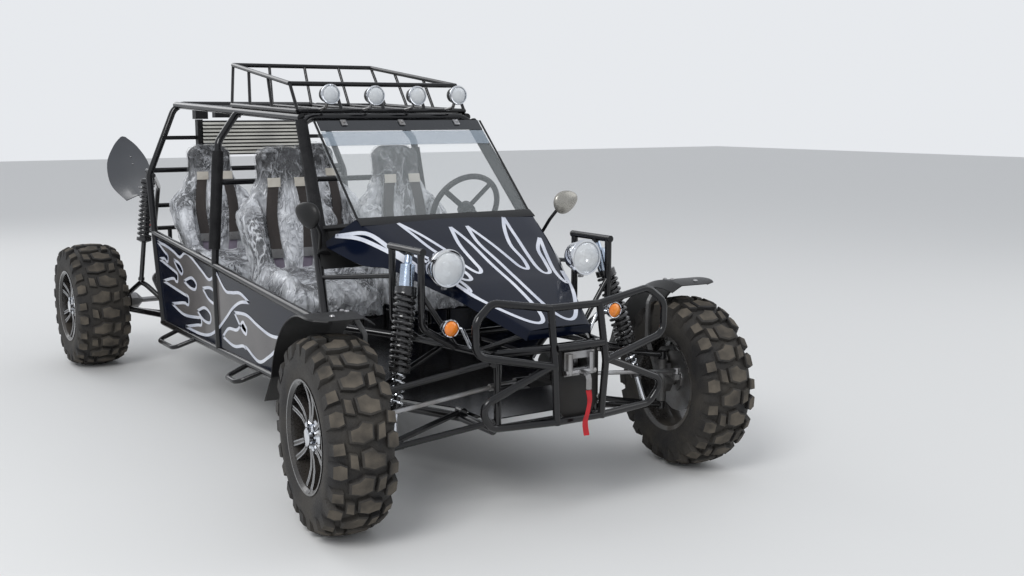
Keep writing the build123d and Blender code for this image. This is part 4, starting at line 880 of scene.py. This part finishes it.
def front_fender(side):
    rows = []
    for angle in list(range(-12, 75, 3)):
        y, z = sin(radians(angle)), cos(radians(angle))
        trim = 60 * (1 - (1 - (min(angle + 2, 0) / 10) ** 2) ** 0.5)
        outer = FENDER_OUTER - trim
        rows.append([(x, r * y, 330 + r * z) for x, r in ((FENDER_INNER, 374), (648, 388), (FENDER_FOLD_X, FENDER_R), (760, FENDER_R),
                                                         (outer - 6, FENDER_R), (outer, FENDER_R - 5))])
    tail_y, tail_z = 474, 348
    first = rows[-1]
    for share in (0.33, 0.66, 1):
        across = ((FENDER_INNER + 20, -26), (654, -12), (FENDER_FOLD_X, 0), (760, 0), (844, 0), (850, -5))
        rows.append([tuple(Vector(start).lerp(Vector((x, tail_y + dy, tail_z)), share)) for start, (x, dy) in zip(first, across)])
    piece = folded("fender_plate", [[place(*p) for p in row] for row in rows], 0.003, 0.0025)
    bolts = []
    for x, angle in ((690, 2), (690, 9), (760, -6), (690, 60)):
        y, z = sin(radians(angle)), cos(radians(angle))
        head = turned("bolt", [(0, 0.009), (0.002, 0.009), (0.006, 0.006), (0.007, 0)], 10)
        bolts.append(aim(head, place(x, FENDER_R * y, 330 + FENDER_R * z), place(x, 500 * y, 330 + 500 * z)))
    wear(piece, PLASTIC, STEEL)
    for bolt in bolts:
        wear(bolt, STEEL)
    piece = joined("fender_plate", [piece] + bolts)
    if side < 0:
        piece.data.transform(Matrix.Scale(-1, 4, (1, 0, 0)))
        piece.data.flip_normals()
    pin = Matrix.Translation((side * 0.640, -1.585, 0))
    piece.data.transform(pin @ Matrix.Rotation(radians(-5.5), 4, "Z") @ pin.inverted())
    return piece


for side, word in ((1, "left"), (-1, "right")):
    piece = front_fender(side)
    piece.name = "fender_plate_" + word
    dress(piece, "fender_" + word)

REAR_FENDER = (((482, 2900, 915), (560, 2896, 936), (620, 2900, 910)), ((425, 3080, 990), (545, 3076, 1014), (650, 3080, 985)),
               ((400, 3240, 1096), (530, 3234, 1112), (625, 3240, 1094)), ((430, 3340, 1182), (515, 3338, 1192), (560, 3342, 1186)),
               ((478, 3390, 1234), (494, 3390, 1238), (505, 3390, 1235)))
edges = [smooth([row[k] for row in REAR_FENDER], 5) for k in range(3)]
leaf_rows = [[place(*edges[0][i]), place(*edges[0][i].lerp(edges[1][i], 0.6)), place(*edges[1][i]),
              place(*edges[1][i].lerp(edges[2][i], 0.4)), place(*edges[2][i])] for i in range(len(edges[0]))]
leaf = folded("rear_leaf", leaf_rows, 0.0035)
wear(leaf, LEAF_GLOSS)
stays = [bar(route, 8) for route in ([(462, 2900, 1013), (510, 2905, 920)], [(392, 3115, 974), (440, 3130, 1018)])]
rivets = []
for i in (1, 3, 9, 11):
    head = turned("rivet", [(0, 0.006), (0.003, 0.005), (0.004, 0)], 10)
    spot = place(*edges[1][i].lerp(edges[0][i], 0.3))
    rivets.append(aim(head, spot, spot + Vector((0, -0.02, 0.1))))
for stay in stays:
    wear(stay, BLACK_BAR)
for rivet in rivets:
    wear(rivet, STEEL)
one_side = joined("rear_leaves", [leaf] + stays + rivets)
dress(joined("rear_leaves", [one_side, mirrored(one_side, "other_leaf")]), "rear_fenders")

# %% [markdown]
# ## Springs and dampers
# Each corner has a damper inside a coil. A coil is a helix given a round section, and the damper
# is lathe work: an eye at each end, a body, and a polished rod. In front the body is plated and
# a short helper spring sits below the black one.

# %% Coil-over shocks
def coil(start, towards, radius, wire, turns, low, high):
    """A spring about the line from start towards another place, between two shares of its length."""
    length = (towards - start).length
    steps = int(turns * 20)
    points = [(radius * cos(2 * pi * turns * k / steps), radius * sin(2 * pi * turns * k / steps), length * (low + (high - low) * k / steps))
              for k in range(steps + 1)]
    spring = new_piece("coil", points, edges=[(k, k + 1) for k in range(steps)])
    bpy.ops.object.convert(target="CURVE")
    spring = bpy.context.object
    spring.data.bevel_depth = wire
    spring.data.bevel_resolution = 2
    spring.data.use_fill_caps = True
    bpy.ops.object.convert(target="MESH")
    return aim(bpy.context.object, start, towards)


def damper(top, foot, profile, shade):
    """Lathe work between two places; heights are shares of the whole length."""
    length = (foot - top).length
    piece = aim(turned("damper", [(share * length, radius) for share, radius in profile], 32), top, foot)
    wear(piece, shade)
    return piece


FRONT_SHOCK = (place(405, 120, 886), place(545, -15, 262))
REAR_SHOCK = (place(532, 2774, 1066), place(594, 2780, 494))
coils, bodies = [], []
for (top, foot), rear in ((FRONT_SHOCK, False), (REAR_SHOCK, True)):
    if rear:
        body = damper(top, foot, [(0, 0), (0, 0.014), (0.06, 0.014), (0.07, 0.036), (0.10, 0.038), (0.10, 0.024), (0.60, 0.024),
                                  (0.60, 0.038), (0.63, 0.038), (0.65, 0.012), (0.97, 0.012), (0.97, 0.016), (1, 0.016), (1, 0)], SPRING_BLACK)
        springs = [(coil(top, foot, 0.0320, 0.0062, 12, 0.10, 0.60), SPRING_BLACK)]
        rod = damper(top, foot, [(0.64, 0), (0.64, 0.009), (0.90, 0.009), (0.90, 0)], CHROME)
    else:
        body = damper(top, foot, [(0, 0), (0, 0.013), (0.04, 0.014), (0.05, 0.026), (0.17, 0.026), (0.18, 0)], SHOCK_BLUE)
        bodies.append(damper(top, foot, [(0.17, 0), (0.17, 0.038), (0.205, 0.038), (0.205, 0.020), (0.60, 0.020), (0.60, 0.038),
                                         (0.62, 0.036), (0.62, 0.012), (0.80, 0.012), (0.80, 0.021), (0.83, 0.021), (0.83, 0)], SPRING_BLACK))
        springs = [(coil(top, foot, 0.0335, 0.0064, 13, 0.20, 0.60), SPRING_BLACK),
                   (coil(top, foot, 0.0190, 0.0050, 5, 0.62, 0.80), CHROME)]
        rod = damper(top, foot, [(0.83, 0), (0.83, 0.009), (0.985, 0.010), (0.985, 0.014), (1, 0.014), (1, 0)], CHROME)
    for spring, shade in springs:
        wear(spring, shade)
        coils.append(spring)
    bodies += [body, rod]
one_side = joined("shock_pair", bodies + coils)
dress(joined("shock_coils", [one_side, mirrored(one_side, "shock_pair_right")]), "shocks")

# %% [markdown]
# ## Lamps
# A round lamp is a deep shell, a bright bowl inside it, a clear lens in front and a polished ring
# over the joint. One helper turns all three from a radius and a depth, and the front indicators
# are the same idea in amber, on short plated stalks.

# %% Headlights, indicators and roof lamps
def lamp(spot, radius, depth, shell, lens=LAMP_GLASS, tilt=0.0):
    """A lamp whose rim is centred on a place, facing forwards, with an upward tilt in radians."""
    shell_piece = turned("shell", [(-depth, 0), (-depth, radius * 0.45), (-depth * 0.7, radius * 0.78), (-depth * 0.25, radius * 0.95),
                                   (0, radius), (0.004, radius), (0.004, radius * 0.92)], 40)
    ring = turned("ring", [(-0.004, radius * 1.0), (-0.002, radius * 1.03), (0.006, radius * 1.03), (0.011, radius * 0.98),
                           (0.010, radius * 0.90), (0.002, radius * 0.90), (-0.004, radius * 1.0)], 40)
    bowl = turned("bowl", [(-depth * 0.55, 0), (-depth * 0.50, radius * 0.30), (-depth * 0.3, radius * 0.66), (0, radius * 0.9)], 40)
    glass = turned("glass", [(0.016, 0), (0.0145, radius * 0.4), (0.010, radius * 0.75), (0.004, radius * 0.91)], 40)
    bulb = turned("bulb", [(-depth * 0.5, 0.006), (-depth * 0.2, 0.007), (-depth * 0.14, 0)], 16)
    for piece, shade in ((shell_piece, shell), (ring, CHROME), (bowl, CHROME), (glass, lens), (bulb, CREAM)):
        wear(piece, shade)
    whole = joined("lamp", [shell_piece, ring, bowl, glass, bulb])
    return aim(whole, spot, spot + Vector((0, -cos(tilt), sin(tilt))))


def bolt_on(spot, towards, radius=0.007):
    head = turned("bolt", [(0, radius), (0.005, radius), (0.007, radius * 0.7), (0.007, 0)], 6)
    wear(head, STEEL)
    return aim(head, spot, towards)


pair = [lamp(place(295, 43, 841), 0.066, 0.088, CHROME)]
stem = bar([(295, 70, 790), (295, 70, 764)], 9)
wear(stem, STEEL)
one_side = joined("headlight", pair + [stem, bolt_on(place(295, 70, 770), place(295, 60, 700), 0.012)])
dress(joined("headlight_pair", [one_side, mirrored(one_side, "headlight_right")]), "headlights")

signal = lamp(place(348, -64, 653), 0.030, 0.038, CHROME, AMBER)
stalk = bar([(340, -44, 652), (286, -40, 640), (252, -40, 572)], 7, 20)
wear(stalk, CHROME)
one_side = joined("signal", [signal, stalk])
dress(joined("signal_pair", [one_side, mirrored(one_side, "signal_right")]), "turn_signals")

rack_set = []
for x, y, z in ((298, 980, 1447), (98, 977, 1443)):
    unit = lamp(place(x, y, z), 0.040, 0.060, PLASTIC)
    foot = bar([(x, y + 30, z - 30), (x, y + 42, 1394), (x, 1092, 1384)], 7, 20)
    wear(foot, STEEL)
    rack_set += [unit, foot]
one_side = joined("rack_lamp", rack_set)
dress(joined("rack_lamp_set", [one_side, mirrored(one_side, "rack_lamp_right")]), "rack_lamps")

# %% [markdown]
# ## Windscreen
# A flat sheet of clear plastic held to the front hoop by three clips. A dark band runs along its
# top, left bare here, with a paler strip below it, and a thin dark frame closes the edge.

# %% The screen and what holds it
SCREEN_TOP, SCREEN_FOOT = (392, 950, 1341), (391, 564, 974)


def on_screen(x, z, lift=0.0):
    """A place on the screen's front at a height, lifted off it in millimetres."""
    share = (z - SCREEN_FOOT[2]) / (SCREEN_TOP[2] - SCREEN_FOOT[2])
    y = SCREEN_FOOT[1] + share * (SCREEN_TOP[1] - SCREEN_FOOT[1])
    return place(x, y - 0.69 * lift, z + 0.725 * lift)


def strip_on_screen(name, left, right, low, high, lift):
    xs = [left + (right - left) * k / 10 for k in range(11)]
    return folded(name, [[on_screen(x, z, lift) for x in xs] for z in (high, (low + high) / 2, low)], 0.0012)


band = strip_on_screen("band", -376, 376, 1300, 1340, 2.4)
# A pale, half-clear strip is laid over the screen below the band.
pale = strip_on_screen("pale_strip", -376, 376, 1243, 1297, 2.2)
wear(band, BAND)
wear(pale, PALE_SCREEN_STRIP)
edges = []
for x in (-386, 386):
    edge = strip_on_screen("edge", x - 5, x + 5, 978, 1338, 2.8)
    wear(edge, PLASTIC)
    edges.append(edge)
clamps = []
for x in (-262, 0, 262):
    grip = new_piece("grip", [on_screen(x + dx, z, lift) for z in (1318, 1340) for dx in (-13, 13) for lift in (2, 9)],
                     faces=[(0, 1, 3, 2), (4, 6, 7, 5), (0, 4, 5, 1), (2, 3, 7, 6), (1, 5, 7, 3), (0, 2, 6, 4)])
    bpy.ops.object.mode_set(mode="EDIT")
    bpy.ops.mesh.select_all(action="SELECT")
    bpy.ops.mesh.normals_make_consistent(inside=False)
    bpy.ops.mesh.bevel(offset=0.003, segments=2)
    bpy.ops.object.mode_set(mode="OBJECT")
    wear(grip, STEEL)
    clamps += [grip, bolt_on(on_screen(x, 1329, 9), on_screen(x, 1329, 60), 0.006)]
dress(joined("screen_trim", [band, pale] + edges + clamps), "windscreen", stands_for=False)
wear(nodes["windscreen"], SCREEN_GLASS)

# %% [markdown]
# ## Seats
# Each seat is a foam shell under vinyl, sewn tight, so its faces swell between the seams. The
# form is two outlines cut from each other, as the part has it. A cloth simulation with a little
# pressure inside then lets the cover bulge, which no bevel would do as softly. It is made once.

# %% One seat, inflated
SEAT_SIDE = ((-20, 20), (0, 0), (60, 0), (85, 30), (90, 200), (150, 575), (600, 600), (646, 640), (620, 730), (240, 740), (130, 700), (20, 240))
BOLSTER_SIDE = ((10, 250), (100, 260), (165, 330), (215, 530), (560, 555), (640, 610), (630, 660), (240, 720), (130, 690))
SEAT_FRONT = ((60, 0), (104, 40), (116, 150), (150, 215), (225, 300), (222, 400), (190, 520), (200, 600), (225, 640), (225, 741))
SEAT_HALF, BOLSTER_IN, PUFF = 0.222, 0.140, 0.016
SEATS = {"seat_front_left": (287, 1600, 1238), "seat_front_right": (-287, 1600, 1238),
         "seat_rear_left": (290, 2560, 1225), "seat_rear_right": (-290, 2560, 1225)}


def prism(name, outline, low, high, along_x=True):
    """A flat outline in metres pushed from low to high, across the seat or along it."""
    foot = [(low, a, b) if along_x else (a, low, b) for a, b in outline]
    form = new_piece(name, foot, faces=[list(range(len(foot)))])
    bpy.ops.object.mode_set(mode="EDIT")
    bpy.ops.mesh.select_all(action="SELECT")
    push = (high - low, 0, 0) if along_x else (0, high - low, 0)
    bpy.ops.mesh.extrude_region_move(TRANSFORM_OT_translate={"value": push})
    bpy.ops.mesh.select_all(action="SELECT")
    bpy.ops.mesh.normals_make_consistent(inside=False)
    bpy.ops.object.mode_set(mode="OBJECT")
    return form


def cut_with(piece, other, way):
    pick(piece)
    bpy.ops.object.modifier_add(type="BOOLEAN")
    cut = piece.modifiers[-1]
    cut.object = other
    cut.operation = way
    cut.solver = "EXACT"
    bpy.ops.object.modifier_apply(modifier=cut.name)
    bpy.data.objects.remove(other)


shrink = 0.985
side = [(-f / 1000 * shrink, -b / 1000 * shrink - 0.004) for f, b in SEAT_SIDE]
wing = [(-f / 1000 * shrink, -b / 1000 * shrink - 0.004) for f, b in BOLSTER_SIDE]
front = [(x / 1000 * shrink, -b / 1000) for x, b in SEAT_FRONT] + [(-x / 1000 * shrink, -b / 1000) for x, b in SEAT_FRONT[::-1]]
cushion = prism("cushion", side, -SEAT_HALF, SEAT_HALF)
for low, high in ((-SEAT_HALF, -BOLSTER_IN), (BOLSTER_IN, SEAT_HALF)):
    cut_with(cushion, prism("wing", wing, low, high), "UNION")
cut_with(cushion, prism("front", front, -0.75, 0.1, along_x=False), "INTERSECT")
pick(cushion)
cushion.data.remesh_voxel_size = 0.014
bpy.ops.object.voxel_remesh()
bpy.ops.object.modifier_add(type="SMOOTH")
cushion.modifiers[-1].iterations = 6
bpy.ops.object.modifier_apply(modifier=cushion.modifiers[-1].name)
before = [v.co.copy() for v in cushion.data.vertices]
bpy.ops.object.modifier_add(type="CLOTH")
cloth = cushion.modifiers[-1]
cloth.settings.use_pressure = True
cloth.settings.uniform_pressure_force = 4
cloth.settings.effector_weights.gravity = 0
cloth.point_cache.frame_end = 20
for step in range(1, 21):
    bpy.context.scene.frame_set(step)
bpy.ops.object.modifier_apply(modifier=cloth.name)
bpy.context.scene.frame_set(1)
for v, start in zip(cushion.data.vertices, before):
    moved = v.co - start
    v.co = start + moved * min(1, PUFF / max(moved.length, 1e-6))
bpy.ops.object.modifier_add(type="SUBSURF")
cushion.modifiers[-1].levels = cushion.modifiers[-1].render_levels = 1
bpy.ops.object.modifier_apply(modifier=cushion.modifiers[-1].name)
print("seat cover", len(cushion.data.polygons), "faces")

# %% [markdown]
# ## Clear wrap
# The seats are new, so each backrest and base is still in its crinkled clear bag. The bag is one
# thin layer that follows the cover a few millimetres off it and is open underneath. Creases in
# film are sharp ridges with flat spaces between, so the offset follows a ridged noise.

# %% The bag over a seat
WRAP_FOOT = -0.715
bag = new_piece("bag", [])
bag.data = cushion.data.copy()
bpy.ops.object.mode_set(mode="EDIT")
bpy.ops.mesh.select_mode(type="FACE")
net = bmesh.from_edit_mesh(bag.data)
for f in net.faces:
    middle = f.calc_center_median()
    f.select_set(middle.z < WRAP_FOOT)
bpy.ops.mesh.delete(type="FACE")
bpy.ops.object.mode_set(mode="OBJECT")
normals = [v.normal.copy() for v in bag.data.vertices]
for v, normal in zip(bag.data.vertices, normals):
    spot = Vector((v.co.x, v.co.y, v.co.z * 0.55))
    long_creases = (1 - abs(noise.noise(spot * 13))) ** 5
    small = (1 - abs(noise.noise(spot * 34))) ** 4
    v.co += normal * (0.003 + 0.0075 * long_creases + 0.0035 * small)


STRAP_STEP = 0.05     # a strap never leaps forward from the backrest to the base


def strap(name, seat_piece, route, width, shade, lift=0.010, thick=0.0018):
    """A flat strap laid on a seat: (across, height) places in metres are cast on to its front."""
    rows = []
    dense = smooth([(a, 0, b) for a, b in route], 5)
    for p in dense:
        hit, spot, normal, face = seat_piece.ray_cast(Vector((p.x, -2.5, p.z)), Vector((0, 1, 0)))
        near = hit and (not rows or abs(spot.y - lift - rows[-1][0].y) < STRAP_STEP)
        y = spot.y - lift if near else rows[-1][0].y
        rows.append([Vector((p.x - width / 2, y, p.z)), Vector((p.x, y - 0.001, p.z)), Vector((p.x + width / 2, y, p.z))])
    ribbon = folded(name, rows, thick, outward=(0, -1, 0))
    wear(ribbon, shade)
    return ribbon


for node, (x, y, top) in SEATS.items():
    put = Matrix.Translation(place(x, y, top))
    cover, film = new_piece("cover_" + node, []), new_piece("wrap_" + node, [])
    cover.data, film.data = cushion.data.copy(), bag.data.copy()
    cover.data.transform(put)
    film.data.transform(put)
    dress(cover, node, VINYL)
    dress(film, node, WRAP, stands_for=False)
    size = sum(f.area for f in film.data.polygons)
    rails = []
    for dx in (-150, 150):
        rails += [bar([(x + dx, y - 575, top - 712), (x + dx, y - 255, top - 712)], 10)]
        rails += [bar([(x + dx, y - back, top - 712), (x + dx, y - back, 324)], 9) for back in (560, 280)]
    dress(joined("runners_" + node, rails), node, BLACK_BAR, stands_for=False)
    sx, seat_z = x / 1000, top / 1000
    for lean in (-1, 1):
        pad = strap("harness", cover, [(sx + lean * 0.062, seat_z - 0.165), (sx + lean * 0.085, seat_z - 0.32), (sx + lean * 0.075, seat_z - 0.47)],
                    0.050, WEBBING, 0.016, 0.007)
        low = strap("harness", cover, [(sx + lean * 0.075, seat_z - 0.47), (sx + lean * 0.06, seat_z - 0.56), (sx + lean * 0.04, seat_z - 0.60)],
                    0.044, PALE_WEBBING, 0.012)
        guide = strap("harness", cover, [(sx + lean * 0.062, seat_z - 0.150), (sx + lean * 0.064, seat_z - 0.190)], 0.058, CREAM, 0.020, 0.005)
        buckle = strap("harness", cover, [(sx + lean * 0.076, seat_z - 0.46), (sx + lean * 0.075, seat_z - 0.50)], 0.056, STEEL, 0.021, 0.005)
        for word, piece, wide, held in (("pad", pad, 0.050, True), ("webbing", low, 0.044, True), ("guide", guide, 0.058, False),
                                        ("buckle", buckle, 0.056, False)):
            side_word = "outer" if lean * x > 0 else "inner"
            piece.name = "harness_%s_%s_%s" % (word, side_word, node)
            dress(piece, node, stands_for=False)
for pattern in (cushion, bag):
    bpy.data.objects.remove(pattern)

# %% [markdown]
# ## Foam sleeves and the steering wheel
# The hoop nearest the passengers is wrapped in closed-cell foam, as on most cage cars. The
# steering wheel is a moulded ring on three flat spokes, tilted with its column and turned a
# little, because the buggy is parked with its front wheels turned.

# %% Sleeves, wheel and mirrors
pad_front = [bar(route, 25, 70) for route in both_ways([[(491, 640, 844), (400, 1040, 1333)]])]
dress(joined("foam_front", pad_front), "cage_front", FOAM, stands_for=False)
pad_mid = [bar(route, 26, 60) for route in both_ways([[(550, 1721, 760), (503, 1762, 1200)]])]
dress(joined("foam_mid", pad_mid), "cage_mid", FOAM, stands_for=False)

for side, word in ((1, "left"), (-1, "right")):
    bpy.ops.object.select_all(action="DESELECT")
    bpy.ops.mesh.primitive_uv_sphere_add(segments=36, ring_count=20, radius=1)
    head = bpy.context.object
    for v in head.data.vertices:
        taper = 1 - 0.22 * v.co.x
        v.co = Vector((v.co.x * 0.062, v.co.y * 0.020 * taper, v.co.z * 0.047 * taper))
        if v.co.y > 0.008:
            v.co.y = 0.008
    swing = Matrix.Rotation(radians(0 if side > 0 else 68), 4, "Z")
    head.data.transform(Matrix.Translation(place(583, 573, 1004)) @ swing @ Matrix.Rotation(radians(-19), 4, "Y"))
    wear(head, MIRROR_BACK if side > 0 else PLASTIC, CHROME)
    for f in head.data.polygons:
        f.material_index = 1 if f.normal.y > 0.95 and f.center.y > place(0, 573, 0).y + 0.007 else 0
    stem = bar([(503, 655, 850), (520, 600, 930), (560, 573, 992)], 7, 40)
    wear(stem, PLASTIC)
    whole = joined("mirror_" + word, [head, stem])
    if side < 0:
        whole.data.transform(Matrix.Scale(-1, 4, (1, 0, 0)))
        whole.data.flip_normals()
    dress(whole, "mirrors", stands_for=word == "left")

# %% The steering wheel
WHEEL_CENTRE, WHEEL_LEAN, GRIP_R = (275, 884, 966), radians(25), 0.155
PARKED_TURN = radians(-5.5 * 270 / 28)
column = Vector((0, cos(WHEEL_LEAN), sin(WHEEL_LEAN)))
wheel_frame = Matrix((Vector((1, 0, 0)), column.cross(Vector((1, 0, 0))), column)).transposed().to_4x4()
bpy.ops.object.select_all(action="DESELECT")
bpy.ops.mesh.primitive_torus_add(major_radius=GRIP_R, minor_radius=0.0125, major_segments=72, minor_segments=16)
grip = bpy.context.object
hub = turned("hub", [(-0.12, 0), (-0.12, 0.0105), (-0.03, 0.0105), (-0.03, 0.034), (0.008, 0.034), (0.014, 0.026), (0.014, 0)], 40)
wheel_pieces = [grip, hub]
for angle in (0, 180, 270):
    bpy.ops.object.select_all(action="DESELECT")
    bpy.ops.mesh.primitive_cube_add(size=1)
    spoke = bpy.context.object
    bpy.ops.object.mode_set(mode="EDIT")
    bpy.ops.transform.resize(value=(GRIP_R - 0.008, 0.024, 0.006))
    bpy.ops.mesh.bevel(offset=0.0022, segments=2)
    bpy.ops.object.mode_set(mode="OBJECT")
    spoke.data.transform(Matrix.Rotation(radians(angle), 4, "Z") @ Matrix.Translation((GRIP_R / 2 + 0.004, 0, -0.008)))
    wheel_pieces.append(spoke)
for piece in wheel_pieces:
    wear(piece, PLASTIC)
wheel = joined("steering_wheel_round", wheel_pieces)
wheel.data.transform(Matrix.Translation(place(*WHEEL_CENTRE)) @ wheel_frame @ Matrix.Rotation(PARKED_TURN, 4, "Z"))
dress(wheel, "steering_wheel")

# %% [markdown]
# ## Radiator and winch details
# Bright slats stand in front of the radiator's core, which is worn black as painted shade, so the gaps between them
# read dark.
# The winch drum is wound with rope, and bolts hold its plate, which the plain solids leave to this step.

# %% Slats, rope and bolts
slats = []
for k in range(9):
    low = 1158 + k * 19
    slats.append(folded("slat", [[place(x, y, z) for x in (-276, 276)] for y, z in ((2638, low), (2641, low + 6), (2644, low + 11))],
                        0.0014, outward=(0, -1, 0)))
dress(joined("radiator_slats", slats), "radiator", LOUVRE, stands_for=False)
rope = [coil(place(-40, -240, 530), place(40, -240, 530), 0.0285, 0.0030, 13, 0.02, 0.98)]
wear(rope[0], STEEL)
plate_bolts = [bolt_on(place(x, -317, z), place(x, -380, z), 0.008) for x in (-88, 88) for z in (415, 580)]
dress(joined("winch_rope", rope + plate_bolts), "winch", stands_for=False)

# %% [markdown]
# ## The pull strap
# A red strap hangs from the winch hook, so the hook can be led by hand. Webbing is stiff enough
# to curl, so the strap bows forward and sideways instead of dropping plumb.

# %% A strap that curls
strap_line = smooth([place(0, -384, 458), place(3, -387, 424), place(-6, -389, 386), place(-16, -388, 350), place(-8, -386, 304)], 7)
strap_rows = []
for k, spot in enumerate(strap_line):
    turn = 0.5 * sin(k / 7)
    across = Vector((cos(turn), 0.35 * sin(turn), 0)) * 0.011
    strap_rows.append([spot - across, spot + across])
pull_strap = folded("pull_strap", strap_rows, 0.0016, outward=(0, -1, 0))
dress(pull_strap, "hook_strap", RED_WEBBING)
strap_length = sum((b - a).length for a, b in zip(strap_line, strap_line[1:]))

# %% Finishes for the solids that stay
KEPT = {
    "side_panels": NIGHT_PAINT, "floor_pan": BLACK_BAR, "dash": PLASTIC, "windscreen": SCREEN_GLASS, "winch": PLASTIC,
    # The radiator's core is black here as painted shade between its bright slats.
    "winch_hook": STEEL, "radiator": PLASTIC, "roof_fittings": PLASTIC, "engine": CAST,
    "exhaust": STEEL, "tail_lamps": RED_LENS, "knuckle_left": CAST, "knuckle_right": CAST, "disc_left": STEEL,
    "disc_right": STEEL, "shaft_left": STEEL, "shaft_right": STEEL}
for node, kept_finish in KEPT.items():
    wear(nodes[node], kept_finish)
